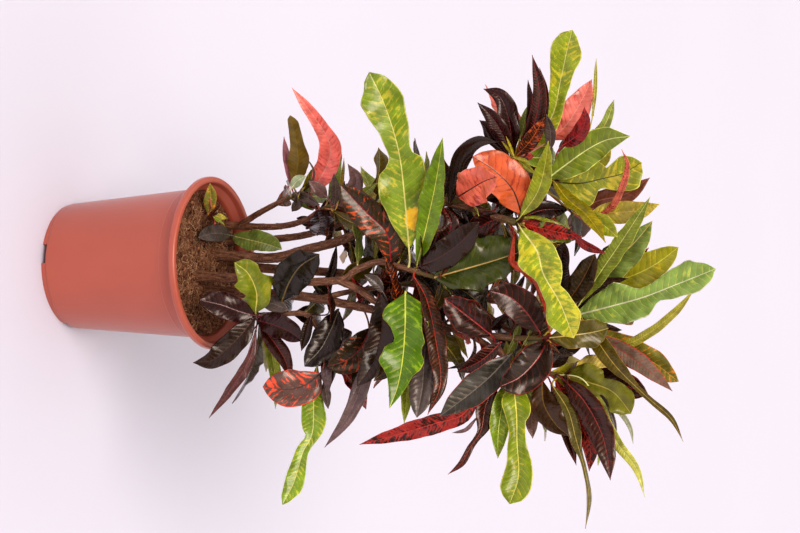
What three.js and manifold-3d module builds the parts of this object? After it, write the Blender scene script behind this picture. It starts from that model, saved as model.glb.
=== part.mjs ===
// Potted croton: several leafy woody stems in one nursery pot. Millimetres, +Z up, the front towards -Y.
// The origin is the centre of the pot's underside.
import * as THREE from "three";
import { mergeVertices } from "three/addons/utils/BufferGeometryUtils.js";
import Module from "manifold-3d";

const wasm = await Module();
wasm.setup();

// Pot: a 21 cm plastic nursery pot, thin walled, with a thick turned-out lip
const POT_HEIGHT = 205;
const FOOT_RADIUS = 77.5;
const FOOT_WIDTH = 5;
const FOOT_STEP_Z = 6.5;
const BODY_LOW_RADIUS = 79.5;
const BODY_TOP_RADIUS = 93.5;
const LIP_RADIUS = 107.5;
const LIP_UNDER_Z = 196;
const MOUTH_RADIUS = 99.5;
const WALL = 2.6;
const NECK_DROP = 5;
const FLOOR_UNDER_Z = 6;
const FLOOR_Z = 9;
const PAD_RADIUS = 18;
const NOTCH_WIDTH = 24;
const NOTCH_HEIGHT = 6;
const NOTCH_COUNT = 4;
const NOTCH_TURN = THREE.MathUtils.degToRad(-102);
const POT_SIDES = 32;

// Potting mix and the holes that the stems stand in
const SOIL_Z = 188;
const SOIL_GAP = 0.4;
const SOIL_RINGS = [0.66, 0.3];
const SOIL_RELIEF = 1.5;
const SOIL_WAVE = 15;
const HOLE_DEPTH = 36;
const HOLE_GAP = 0.6;
const HOLE_SIDES = 8;
const ROOT_DEPTH = 34;
const ROOT_RISE = 2.5;

// Place that the front view is taken from: x and z below are read in the plane y = 0 from there
const EYE = new THREE.Vector3(9, -3000, 1804);

// Where solids join: edges shorter than this are closed up, and triangles thinner than this turned
const SHORTEST_EDGE = 0.02;
const THINNEST = 0.01;

// Leaf sections and how far a leaf keeps from its neighbours
const BLADE_HALF_THICKNESS = 0.75;
const STALK_RADIUS = 1.35;
const WAVE = 0.12;
const FOLD = THREE.MathUtils.degToRad(14);
const CLEARANCE = 1.3;
const POT_GAP = 2;
const ROOT_SPACING = 7;
const CROWDING_COST = 1.5;
const STEM_SIDES = 6;
const SPAN_STEPS = 8;
const DIRECTION_SPAN = 0.03;
const SHORT_STALK = 14;

// Leaf forms: [share of the length, share of the half width], from the stalk to the tip
const FORMS = {
  lance: [[0, 0.12], [0.24, 0.82], [0.5, 1], [0.78, 0.66], [1, 0]],
  oval: [[0, 0.12], [0.2, 0.74], [0.48, 1], [0.76, 0.82], [0.92, 0.44], [1, 0]],
  waisted: [[0, 0.08], [0.17, 0.7], [0.34, 1], [0.52, 0.43], [0.66, 0.6], [0.83, 0.76], [0.95, 0.46], [1, 0]],
  spoon: [[0, 0.1], [0.18, 0.86], [0.42, 0.55], [0.62, 0.76], [0.82, 1], [0.94, 0.72], [1, 0]],
  tailed: [[0, 0.12], [0.2, 0.92], [0.36, 0.8], [0.56, 0.28], [0.8, 0.3], [1, 0]],
  strap: [[0, 0.3], [0.36, 1], [0.75, 0.8], [1, 0]],
  lobed: [[0, 0.1], [0.14, 0.86], [0.34, 0.74], [0.58, 0.95], [0.72, 0.6], [0.84, 0.36], [1, 0]],
  paddle: [[0, 0.12], [0.3, 0.95], [0.55, 0.55], [0.82, 0.8], [1, 0]],
  broad: [[0, 0.12], [0.3, 0.9], [0.62, 1], [0.87, 0.55], [1, 0]],
};

// Woody stems: [[x, z, y] seen from the front, ...], the radius at the foot and at the top
// Leaves read from the front: [form, width, turn in degrees, y at the stalk, y at the tip, [[x, z], ...]]
// Spirals fill the sides and back: [branch, count, length, width, form, first angle in degrees]
const PLANTS = {
  leafy_stem_left: {
    branches: [
      [[[-10, 205, 32], [-6, 250, 30], [-5, 290, 26], [-14, 330, 20], [-22, 370, 14], [-34, 405, 6],
        [-44, 430, 0], [-57, 480, -12], [-66, 515, -20], [-71, 545, -24]], 6.6, 4.6],
      [[[-71, 545, -24], [-78, 566, -20], [-96, 586, -16], [-118, 604, -20]], 4.2, 2.6],
      [[[-66, 518, -20], [-58, 556, -10], [-47, 584, -18], [-41, 606, -24]], 4.4, 4.8],
      [[[-71, 545, -24], [-74, 585, 0], [-80, 620, 12], [-86, 656, 14]], 3.8, 2.8],
    ],
    leaves: [
      ["waisted", 50, 0, -32, -80, [[-33, 613], [-6, 633], [22, 641], [56, 661], [97, 677]]],
      ["oval", 52, -10, -34, -85, [[-52, 614], [-80, 603], [-103, 580], [-120, 553]]],
      ["waisted", 54, 0, 6, 14, [[-86, 661], [-84, 688], [-89, 718], [-94, 742], [-106, 765]]],
      ["spoon", 38, 10, -14, -40, [[-130, 628], [-165, 656], [-205, 667], [-240, 676], [-264, 683]]],
      ["lance", 42, -15, -2, -14, [[-92, 650], [-108, 674], [-124, 700], [-134, 724], [-137, 752]]],
      ["oval", 46, 0, -50, -96, [[-73, 534], [-81, 549], [-90, 567], [-95, 584]]],
      ["lance", 24, 20, -34, -66, [[-48, 614], [-75, 635], [-105, 645], [-135, 650]]],
      ["lance", 34, 0, -6, 4, [[-137, 652], [-152, 672], [-178, 691], [-205, 706]]],
      ["lance", 20, 10, -16, -26, [[-129, 668], [-142, 689], [-158, 697], [-173, 696]]],
      ["lance", 28, 0, 8, 10, [[-46, 698], [-49, 725], [-50, 755], [-57, 786]]],
      ["lance", 24, 0, 16, 30, [[-56, 690], [-64, 715], [-70, 745], [-88, 775]]],
      ["strap", 24, 35, 4, -28, [[-86, 657], [-66, 672], [-45, 697], [-14, 719]]],
      ["lance", 24, -10, -4, -6, [[-47, 697], [-36, 715], [-20, 734]]],
      ["strap", 9, 10, 12, -26, [[-43, 706], [-56, 728], [-80, 742], [-104, 748], [-122, 741]]],
      ["strap", 18, 120, -26, -66, [[-24, 604], [8, 600], [22, 622], [45, 636], [75, 644], [93, 648]]],
      ["lance", 30, 0, -16, -2, [[-24, 622], [-26, 640], [-34, 672]]],
      ["strap", 8, 70, -24, -16, [[-46, 614], [-44, 636], [-39, 656]]],
      ["lance", 30, 0, -20, -4, [[-48, 592], [-39, 566], [-24, 540]]],
      ["strap", 13, 0, -8, -10, [[-131, 698], [-150, 720], [-180, 733]]],
      ["lance", 26, 0, 38, 46, [[-94, 690], [-110, 711], [-134, 727]]],
      ["lance", 16, 0, -22, -52, [[-120, 622], [-150, 638], [-190, 645], [-222, 641]]],
      ["lance", 19, 0, -26, -60, [[-120, 611], [-150, 630], [-190, 640], [-237, 632]]],
      ["lance", 9, 10, -16, -28, [[-150, 623], [-180, 629], [-208, 626]]],
      ["lance", 13, 0, -12, -10, [[-138, 614], [-160, 621], [-180, 627]]],
      ["lance", 20, -20, -30, -44, [[-120, 610], [-137, 628], [-163, 646]]],
      ["lance", 26, 0, -28, -54, [[-124, 606], [-160, 601], [-188, 591], [-200, 569]]],
      ["lance", 20, 0, -32, -56, [[-124, 602], [-150, 590], [-170, 576], [-184, 561]]],
      ["lance", 19, 10, -24, -36, [[-122, 598], [-141, 582], [-155, 573], [-163, 563]]],
      ["strap", 9, 0, -10, -4, [[-140, 611], [-155, 613], [-170, 613]]],
      ["lance", 22, 0, -30, -52, [[-64, 522], [-96, 530], [-124, 543], [-137, 562], [-136, 586]]],
      ["lance", 16, 0, -16, -8, [[-62, 522], [-54, 530], [-46, 540]]],
      ["strap", 5, 0, 0, 6, [[-162, 706], [-195, 710], [-229, 712]]],
      ["lance", 14, 10, -24, -34, [[-124, 652], [-146, 653], [-167, 648]]],
      ["lance", 5, 0, -30, -40, [[-118, 604], [-115, 614], [-111, 627]]],
      ["lance", 8, 0, -20, -26, [[-118, 606], [-107, 620], [-96, 634]]],
      ["strap", 3.4, 0, -34, -56, [[-119, 606], [-130, 602], [-142, 597]]],
      ["strap", 3.4, 0, -30, -48, [[-119, 605], [-127, 599], [-137, 591]]],
      ["lance", 5, 0, -22, -24, [[-120, 608], [-127, 616], [-134, 624]]],
      ["lance", 13, 0, 10, 6, [[-90, 662], [-100, 671], [-113, 682]]],
      ["lance", 24, 0, -18, 10, [[-44, 612], [-54, 640], [-54, 674]]],
      ["lance", 20, 10, -16, 6, [[-40, 612], [-31, 646], [-21, 690]]],
      ["lance", 11, 0, -10, -20, [[-22, 680], [-9, 698], [-2, 718]]],
    ],
    spirals: [
      [3, 5, 125, 38, "paddle", 20],
      [1, 4, 115, 26, "lance", 60],
      [2, 3, 115, 36, "broad", 100],
      [0, 5, 130, 36, "paddle", 150],
    ],
  },
  leafy_stem_middle: {
    branches: [
      [[[16, 178, -18], [20, 240, -20], [25, 310, -22], [24, 376, -24], [13, 396, -26], [3, 426, -28],
        [8, 450, -32], [17, 482, -37], [23, 504, -40]], 6.8, 3],
      [[[24, 372, -24], [36, 400, -26], [51, 422, -28], [68, 455, -33], [85, 489, -40]], 4.6, 2.8],
    ],
    leaves: [
      ["oval", 66, 0, -44, -14, [[23, 502], [14, 540], [4, 580], [-8, 622]]],
      ["waisted", 62, 0, -46, -112, [[-14, 468], [-70, 464], [-130, 457], [-185, 440], [-227, 420]]],
      ["lance", 30, 10, -40, -84, [[5, 479], [-40, 492], [-95, 506], [-144, 515]]],
      ["lobed", 52, 0, -54, -104, [[42, 462], [80, 461], [120, 457], [155, 449], [180, 438]]],
      ["oval", 42, 0, -42, -90, [[6, 444], [-30, 440], [-52, 418], [-72, 398], [-92, 378]]],
      ["oval", 36, 0, -46, -84, [[82, 488], [115, 486], [155, 482], [191, 474]]],
      ["lance", 24, 15, -42, -78, [[22, 474], [50, 490], [100, 501], [150, 506], [188, 488]]],
      ["oval", 34, 0, -42, -84, [[42, 430], [85, 430], [125, 418], [153, 396]]],
      ["oval", 36, 10, -40, -58, [[10, 480], [-2, 510], [-18, 535], [-42, 560]]],
      ["lance", 24, 0, -38, -56, [[2, 490], [-20, 512], [-40, 524], [-61, 514]]],
      ["lance", 22, 0, -60, -84, [[104, 448], [130, 437], [147, 418]]],
      ["lance", 16, 0, -48, -70, [[116, 470], [150, 463], [198, 457]]],
      ["lance", 14, 0, -44, -58, [[40, 433], [28, 424], [18, 408]]],
    ],
    spirals: [
      [0, 4, 120, 42, "broad", 35],
      [1, 4, 125, 36, "paddle", 80],
    ],
  },
  leafy_stem_right: {
    branches: [
      [[[34, 190, 3], [41, 300, 0], [46, 345, -4], [52, 375, -6], [62, 425, -10], [75, 480, -12],
        [88, 540, -18], [96, 595, -26], [97, 636, -34]], 6.6, 3.4],
      [[[88, 540, -18], [112, 580, -12], [134, 625, -4], [141, 662, 0]], 4, 2.8],
      [[[92, 566, -22], [112, 585, -30], [142, 599, -40]], 3, 2.4],
      [[[46, 348, -4], [38, 390, 2], [34, 425, 6], [28, 470, 12]], 3.6, 2.4],
    ],
    leaves: [
      ["oval", 46, 0, -40, -82, [[100, 643], [120, 632], [141, 610], [154, 582]]],
      ["oval", 40, 0, -42, -86, [[89, 634], [66, 618], [48, 598], [40, 571]]],
      ["waisted", 44, 0, 0, -16, [[140, 664], [148, 692], [160, 724], [185, 746]]],
      ["lance", 33, -10, -14, -40, [[144, 662], [170, 688], [205, 708], [235, 716], [263, 719]]],
      ["spoon", 36, 0, -44, -80, [[146, 599], [185, 603], [220, 603], [260, 604], [293, 592]]],
      ["lance", 38, 0, -46, -86, [[116, 597], [142, 570], [165, 540], [190, 503]]],
      ["lance", 24, 10, -52, -84, [[158, 557], [187, 534], [198, 497], [211, 450], [224, 397]]],
      ["tailed", 28, 0, -40, -70, [[146, 577], [178, 563], [206, 557], [226, 543], [244, 532], [259, 513]]],
      ["lance", 28, 0, -4, -16, [[148, 654], [190, 678], [222, 694], [253, 693]]],
      ["tailed", 21, 0, -24, -44, [[154, 650], [182, 668], [215, 677], [250, 687], [285, 692], [320, 687]]],
      ["lance", 26, 10, -40, -62, [[146, 594], [180, 584], [210, 579], [239, 578]]],
      ["oval", 34, 0, 10, 16, [[142, 688], [150, 730], [162, 767]]],
      ["lance", 13, 0, -8, -18, [[150, 692], [172, 708], [196, 716], [220, 729], [250, 752], [282, 761]]],
      ["lance", 34, 20, -30, -44, [[148, 636], [175, 638], [198, 652], [212, 669]]],
      ["lance", 18, 0, -16, -20, [[160, 622], [188, 622], [215, 623]]],
      ["oval", 42, 0, -42, -84, [[92, 572], [75, 550], [60, 530], [48, 513]]],
      ["lance", 21, 0, -14, -48, [[78, 425], [110, 418], [150, 402], [190, 382], [228, 350]]],
      ["oval", 40, 0, -22, -54, [[84, 414], [108, 400], [122, 380], [129, 356]]],
      ["lance", 24, 0, -6, -20, [[92, 412], [135, 400], [171, 392]]],
      ["strap", 7, 0, 14, 20, [[158, 706], [178, 728], [200, 744], [220, 748]]],
      ["strap", 7, 0, 4, 8, [[152, 694], [172, 714], [192, 724], [214, 728]]],
      ["lance", 18, 0, -12, -22, [[152, 648], [205, 666], [246, 677]]],
      ["strap", 5, 0, -52, -60, [[192, 551], [205, 538], [209, 520]]],
      ["strap", 5, 0, -28, -46, [[95, 550], [111, 551], [126, 540], [133, 513]]],
      ["lance", 15, 0, -18, -14, [[100, 592], [128, 594], [154, 590]]],
      ["lance", 20, 0, -16, 38, [[103, 640], [110, 662], [102, 690]]],
      ["lance", 22, 0, -30, -44, [[101, 585], [122, 560], [136, 528]]],
    ],
    spirals: [
      [1, 5, 130, 34, "paddle", 10],
      [0, 6, 130, 38, "broad", 70],
      [2, 2, 110, 30, "lance", 30],
      [3, 3, 115, 32, "lance", 120],
    ],
  },
  leafy_stem_back: {
    branches: [
      [[[4, 223, 66], [10, 300, 66], [16, 380, 62], [28, 460, 58], [44, 540, 54], [58, 610, 48],
        [66, 674, 42]], 6.2, 3],
      [[[28, 460, 58], [0, 520, 72], [-14, 590, 84], [-16, 650, 88]], 4, 2.6],
      [[[44, 540, 54], [84, 590, 70], [112, 650, 84]], 3.8, 2.6],
    ],
    leaves: [
      ["waisted", 50, 0, 34, 16, [[70, 681], [60, 725], [50, 765], [36, 805], [19, 852]]],
      ["tailed", 25, 0, 26, -8, [[74, 688], [100, 706], [132, 730], [165, 765], [190, 794], [217, 809]]],
      ["lance", 24, -20, 34, 4, [[57, 685], [25, 708], [-20, 742], [-66, 775]]],
      ["oval", 40, 0, 60, 66, [[40, 698], [26, 748], [12, 780], [-7, 808]]],
      ["lance", 42, 0, 52, 36, [[45, 700], [10, 728], [-14, 755], [-38, 777]]],
      ["lance", 24, 0, 40, 30, [[92, 702], [118, 745], [138, 772], [159, 797]]],
      ["oval", 36, 0, 54, 60, [[92, 700], [112, 745], [126, 775], [148, 805]]],
      ["strap", 12, 0, 48, 42, [[88, 700], [104, 738], [90, 773], [66, 804], [41, 827]]],
      ["strap", 9, 0, 66, 72, [[22, 734], [8, 752], [-7, 772]]],
      ["lance", 12, 0, 30, 26, [[48, 690], [33, 715], [28, 746]]],
      ["lance", 17, 0, 40, 44, [[62, 680], [50, 700], [35, 711]]],
      ["lance", 16, 0, 54, 60, [[78, 685], [86, 712], [88, 737]]],
      ["oval", 30, 0, 30, -8, [[58, 668], [28, 690], [-1, 706]]],
      ["oval", 28, 0, 24, -20, [[55, 662], [20, 660], [-16, 668]]],
      ["lance", 12, 0, 60, 52, [[60, 520], [98, 532], [120, 542]]],
      ["strap", 8, 0, 66, 64, [[56, 505], [100, 520], [132, 533]]],
    ],
    spirals: [
      [0, 8, 135, 40, "paddle", 40],
      [1, 7, 130, 38, "broad", 0],
      [2, 7, 130, 38, "paddle", 25],
    ],
  },
  leafy_stem_behind_left: {
    branches: [
      [[[-26, 222, 62], [-28, 290, 60], [-34, 340, 56], [-52, 400, 54], [-68, 460, 56],
        [-76, 520, 60]], 5, 3],
    ],
    leaves: [
      ["oval", 30, 0, 52, 30, [[-33, 229], [-28, 250], [-22, 275], [-15, 297]]],
      ["oval", 36, 0, 46, 18, [[-32, 346], [-46, 350], [-62, 346]]],
      ["lance", 13, 0, 44, 30, [[-40, 344], [-48, 332], [-53, 318]]],
      ["lance", 12, 0, 50, 36, [[-34, 396], [-22, 389], [-11, 382]]],
      ["oval", 23, 0, 42, -30, [[-34, 226], [-37, 206], [-32, 181]]],
    ],
    spirals: [[0, 9, 125, 40, "paddle", 75]],
  },
  leafy_stem_low_left: {
    branches: [
      [[[-46, 222, 62], [-43, 290, 48], [-50, 330, 28], [-61, 350, 10], [-66, 366, -4]], 4.6, 3],
      [[[-46, 240, 59], [-58, 262, 46], [-70, 288, 28], [-82, 318, 8]], 4.2, 2.8],
    ],
    leaves: [
      ["tailed", 30, 0, -8, -70, [[-86, 340], [-118, 362], [-145, 364], [-178, 343], [-213, 315]]],
      ["spoon", 26, 180, -10, -54, [[-95, 315], [-122, 322], [-152, 319], [-179, 312]]],
      ["lance", 11, 0, -2, -36, [[-92, 312], [-120, 308], [-153, 303]]],
      ["lance", 14, 0, -22, -30, [[-90, 312], [-98, 320], [-104, 332]]],
      ["lance", 16, 0, -18, -34, [[-77, 360], [-88, 348], [-98, 335]]],
      ["lance", 16, 0, -4, 4, [[-83, 318], [-76, 335], [-68, 350]]],
      ["lance", 13, 0, 4, 0, [[-82, 318], [-71, 320], [-61, 312]]],
      ["strap", 3, 0, -12, -40, [[-82, 335], [-108, 343], [-127, 333]]],
      ["lance", 22, 0, -20, -56, [[-66, 374], [-80, 392], [-98, 400], [-117, 389]]],
      ["lance", 14, 0, -4, 4, [[-66, 376], [-78, 405], [-93, 429]]],
      ["strap", 5, 0, -26, -50, [[-68, 374], [-92, 380], [-124, 384]]],
      ["lance", 12, 0, -26, -48, [[-68, 370], [-86, 372], [-106, 370]]],
      ["lance", 12, 0, -10, -14, [[-62, 366], [-56, 386], [-52, 407]]],
      ["lance", 16, 0, -14, -20, [[-60, 368], [-46, 392], [-38, 427]]],
    ],
    spirals: [
      [0, 4, 110, 30, "lance", 40],
      [1, 4, 110, 30, "paddle", 130],
    ],
  },
  leafy_stem_low_right: {
    branches: [
      [[[56, 209, 40], [60, 240, 22], [66, 264, 4], [64, 300, -10], [66, 330, -14], [84, 344, -22],
        [110, 348, -28]], 4.6, 2.6],
    ],
    leaves: [
      ["oval", 40, 0, -26, -66, [[62, 259], [38, 261], [14, 250], [0, 231]]],
      ["oval", 46, 0, -18, -50, [[48, 296], [26, 306], [6, 322], [-8, 348]]],
      ["waisted", 30, 0, -34, -96, [[130, 342], [165, 337], [210, 334], [235, 320], [270, 308], [299, 291]]],
      ["oval", 48, 0, -46, -78, [[138, 346], [152, 325], [157, 300], [154, 267]]],
      ["lance", 32, 0, -32, -62, [[68, 258], [92, 236], [112, 212], [122, 195], [124, 170]]],
      ["oval", 34, 0, -34, -78, [[66, 258], [60, 235], [52, 210], [46, 180]]],
      ["oval", 32, 0, -22, -34, [[72, 262], [78, 285], [86, 305], [98, 322]]],
      ["lance", 22, 0, -14, -44, [[78, 266], [105, 288], [125, 300], [147, 304]]],
      ["lance", 14, 10, -18, -40, [[84, 259], [120, 249], [155, 224], [193, 191]]],
      ["oval", 38, 0, -20, -58, [[62, 372], [85, 362], [108, 348], [129, 325]]],
      ["lance", 20, 0, -14, -22, [[60, 304], [52, 284], [48, 261]]],
      ["lance", 12, 0, 16, 30, [[60, 360], [35, 358], [8, 366], [-20, 372]]],
      ["lance", 14, 0, -24, -50, [[68, 335], [88, 328], [110, 321]]],
      ["lance", 14, 0, -34, -50, [[118, 352], [140, 355], [160, 358]]],
      ["lance", 12, 0, -40, -54, [[148, 351], [166, 354], [181, 356]]],
      ["lance", 16, 0, 8, 14, [[76, 266], [105, 278], [145, 285], [181, 284]]],
      ["lance", 13, 0, 18, 34, [[76, 264], [105, 274], [136, 272]]],
      ["lance", 8, 0, -26, -30, [[88, 252], [98, 244], [102, 231]]],
    ],
    spirals: [[0, 7, 115, 32, "lance", 50]],
  },
  low_shoot: {
    branches: [[[[-56, 188, 0], [-58, 192, 0], [-60, 196, -1]], 2.2, 1.6]],
    leaves: [
      ["lance", 17, 0, -3, -26, [[-63, 196], [-80, 199], [-99, 199]]],
    ],
    spirals: [],
  },
};

// Spirals: the golden angle between leaves, how they rise, droop and vary from the top down
const GOLDEN_ANGLE = THREE.MathUtils.degToRad(137.5);
const BEHIND = 0.05;
const SPIRAL_SHARE = 0.62;
const TOP_RISE = THREE.MathUtils.degToRad(44);
const LOW_RISE = THREE.MathUtils.degToRad(2);
const DROOP = 0.42;
const SIZE_SPREAD = 0.35;
const ANGLE_SPREAD = 0.5;
const FACE_LEAN = -0.6;
const SPIRAL_STATIONS = [0.08, 0.36, 0.68, 1];
const SEED = 20241;

// Steps that bend a leaf clear: millimetres at the tip, degrees about its midrib, radians round and up
const TIP_SWINGS = [0, -14, 14, -28, 28, -42, 42, -58, 58, -75, 75, -95, 95];
const BLADE_TURNS = [0, 18, -18];
const ROUND_SWINGS = [0, 0.3, -0.3, 0.6, -0.6, 0.9, -0.9];
const RISE_SWINGS = [0, 0.3, -0.3];

const UP = new THREE.Vector3(0, 0, 1);
const FRONT = new THREE.Vector3(0, -1, 0);
const { degToRad, lerp, mapLinear } = THREE.MathUtils;

// The point at depth y that covers (x, z) of the plane y = 0 when seen from EYE
function seen(x, z, y) {
  const reach = (y - EYE.y) / -EYE.y;
  return new THREE.Vector3(EYE.x + (x - EYE.x) * reach, y, EYE.z + (z - EYE.z) * reach);
}

// A smooth line through a few points, walked by its length
class Line {
  constructor(points) {
    const steps = (points.length - 1) * SPAN_STEPS;
    this.points = new THREE.CatmullRomCurve3(points, false, "catmullrom", 0.5).getPoints(steps);
    this.runs = runsOf(this.points);
    this.length = this.runs.at(-1);
  }

  at(share) {
    const run = share * this.length;
    let i = 1;
    while (i < this.runs.length - 1 && this.runs[i] < run) i += 1;
    const part = (run - this.runs[i - 1]) / (this.runs[i] - this.runs[i - 1]);
    return this.points[i - 1].clone().lerp(this.points[i], part);
  }

  directionAt(share) {
    const before = this.at(Math.max(0, share - DIRECTION_SPAN));
    return this.at(Math.min(1, share + DIRECTION_SPAN)).sub(before).normalize();
  }
}

function runsOf(points) {
  const runs = [0];
  for (let i = 1; i < points.length; i += 1) {
    runs.push(runs[i - 1] + points[i].distanceTo(points[i - 1]));
  }
  return runs;
}

// The side and face directions of a section: the face looks towards `facing`, turned about the line
function frameOf(direction, facing, turn) {
  const across = new THREE.Vector3().crossVectors(direction, facing).normalize();
  const out = new THREE.Vector3().crossVectors(across, direction);
  const side = across.clone().multiplyScalar(Math.cos(turn)).addScaledVector(out, Math.sin(turn));
  const face = out.clone().multiplyScalar(Math.cos(turn)).addScaledVector(across, -Math.sin(turn));
  return { side, face };
}

// Triangles between equal rings of points; closed rings are capped at both ends
function skin(rings, closed) {
  const size = rings[0].length;
  const triangles = [];
  for (let i = 0; i + 1 < rings.length; i += 1) {
    for (let k = 0; k < (closed ? size : size - 1); k += 1) {
      const a = i * size + k;
      const b = i * size + (k + 1) % size;
      triangles.push([a, b, b + size], [a, b + size, a + size]);
    }
  }
  const end = (rings.length - 1) * size;
  for (let k = 1; closed && k + 1 < size; k += 1) {
    triangles.push([0, k + 1, k], [end, end + k, end + k + 1]);
  }
  return { points: rings.flat(), triangles };
}

function toGeometry({ points, triangles }) {
  const places = points.flatMap((point) => point.toArray());
  const geometry = new THREE.BufferGeometry();
  geometry.setAttribute("position", new THREE.Float32BufferAttribute(places, 3));
  geometry.setIndex(triangles.flat());
  return geometry;
}

// Solids for cutting and joining: shared corners are merged and triangles without area left out
function solidOf(geometry) {
  const bare = new THREE.BufferGeometry();
  bare.setAttribute("position", geometry.attributes.position);
  bare.setIndex(geometry.index);
  const merged = mergeVertices(bare, 1e-4);
  const corners = Array.from(merged.index.array);
  const triVerts = [];
  for (let i = 0; i < corners.length; i += 3) {
    const [a, b, c] = corners.slice(i, i + 3);
    if (a !== b && b !== c && c !== a) triVerts.push(a, b, c);
  }
  return new wasm.Manifold(new wasm.Mesh({
    numProp: 3,
    vertProperties: new Float32Array(merged.attributes.position.array),
    triVerts: new Uint32Array(triVerts),
  }));
}

// Every edge of a closed surface p to q, with the corner r that faces it in triangle i
function edgesOf(points, triangles) {
  const edges = new Map();
  triangles.forEach(([a, b, c], i) => {
    for (const [p, q, r] of [[a, b, c], [b, c, a], [c, a, b]]) {
      edges.set(p * points.length + q, { p, q, r, i });
    }
  });
  return edges;
}

// The surface with one of its too short edges closed up, or nothing where there is none
function closedUp(points, triangles) {
  const around = (corner) => new Set(triangles.filter((some) => some.includes(corner)).flat());
  for (const { p, q } of edgesOf(points, triangles).values()) {
    if (points[p].distanceTo(points[q]) > SHORTEST_EDGE) continue;
    const near = around(q);
    if ([...around(p)].filter((corner) => near.has(corner)).length !== 4) continue;
    const moved = triangles.map((corners) => corners.map((corner) => (corner === q ? p : corner)));
    return moved.filter(([a, b, c]) => a !== b && b !== c && c !== a);
  }
  return null;
}

// The surface with one too thin triangle and its neighbour split the other way, or nothing
function turned(points, triangles) {
  const edges = edgesOf(points, triangles);
  const height = ([a, b, c]) => {
    const sides = [[a, b], [b, c], [c, a]].map(([p, q]) => points[p].distanceTo(points[q]));
    return 2 * new THREE.Triangle(points[a], points[b], points[c]).getArea() / Math.max(...sides);
  };
  for (const thin of triangles.filter((corners) => height(corners) < THINNEST)) {
    const own = thin.map((corner, k) => edges.get(corner * points.length + thin[(k + 1) % 3]));
    const span = (edge) => points[edge.p].distanceTo(points[edge.q]);
    const [{ p, q, r, i }] = own.sort((a, b) => span(b) - span(a));
    const { r: s, i: j } = edges.get(q * points.length + p);
    const split = [[p, s, r], [s, q, r]];
    if (edges.has(r * points.length + s) || edges.has(s * points.length + r)) continue;
    if (Math.min(...split.map(height)) <= Math.min(height(thin), height(triangles[j]))) continue;
    return triangles.map((corners, k) => (k === i ? split[0] : k === j ? split[1] : corners));
  }
  return null;
}

// The largest body alone: hollows that fusing seals are filled and loose scraps dropped
function largestBody(points, triangles) {
  const group = points.map((_, i) => i);
  const find = (corner) => {
    let top = corner;
    while (group[top] !== top) top = group[top];
    group[corner] = top;
    return top;
  };
  triangles.forEach(([a, b, c]) => {
    group[find(b)] = find(a);
    group[find(c)] = find(a);
  });
  const volumes = new Map();
  for (const [a, b, c] of triangles) {
    const part = points[a].dot(new THREE.Vector3().crossVectors(points[b], points[c]));
    volumes.set(find(a), (volumes.get(find(a)) ?? 0) + part);
  }
  const [[largest]] = [...volumes].sort((a, b) => b[1] - a[1]);
  return triangles.filter(([a]) => find(a) === largest);
}

function meshOf(name, solid, material) {
  const { vertProperties, triVerts } = solid.getMesh();
  const points = [];
  for (let i = 0; i < vertProperties.length; i += 3) {
    points.push(new THREE.Vector3(...vertProperties.slice(i, i + 3)));
  }
  const all = [];
  for (let i = 0; i < triVerts.length; i += 3) all.push([...triVerts.slice(i, i + 3)]);
  let triangles = largestBody(points, all);
  for (let next = triangles; next; next = closedUp(points, triangles) ?? turned(points, triangles)) {
    triangles = next;
  }
  const geometry = toGeometry({ points, triangles });
  geometry.computeVertexNormals();
  const mesh = new THREE.Mesh(geometry, material);
  mesh.name = name;
  return mesh;
}

// Surfaces for telling whether two things meet
function surfaceOf({ points, triangles }) {
  const edges = new Map();
  for (const [a, b, c] of triangles) {
    for (const [p, q] of [[a, b], [b, c], [c, a]]) {
      edges.set(`${Math.min(p, q)} ${Math.max(p, q)}`, [p, q]);
    }
  }
  const box = new THREE.Box3().setFromPoints(points);
  return { points, triangles, edges: [...edges.values()], box };
}

function crosses(start, end, a, b, c) {
  const edge = new THREE.Vector3().subVectors(end, start);
  const ab = new THREE.Vector3().subVectors(b, a);
  const ac = new THREE.Vector3().subVectors(c, a);
  const offset = new THREE.Vector3().subVectors(start, a);
  const normal = new THREE.Vector3().crossVectors(edge, ac);
  const size = ab.dot(normal);
  if (Math.abs(size) < 1e-9) return false;
  const u = offset.dot(normal) / size;
  const turned = new THREE.Vector3().crossVectors(offset, ab);
  const v = edge.dot(turned) / size;
  const t = ac.dot(turned) / size;
  return u >= 0 && v >= 0 && u + v <= 1 && t >= 0 && t <= 1;
}

function pierces(first, second) {
  return second.triangles.some(([a, b, c]) => first.edges.some(([p, q]) => {
    const [start, end] = [first.points[p], first.points[q]];
    return crosses(start, end, second.points[a], second.points[b], second.points[c]);
  }));
}

function meets(first, second) {
  return first.box.intersectsBox(second.box) && (pierces(first, second) || pierces(second, first));
}

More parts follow.
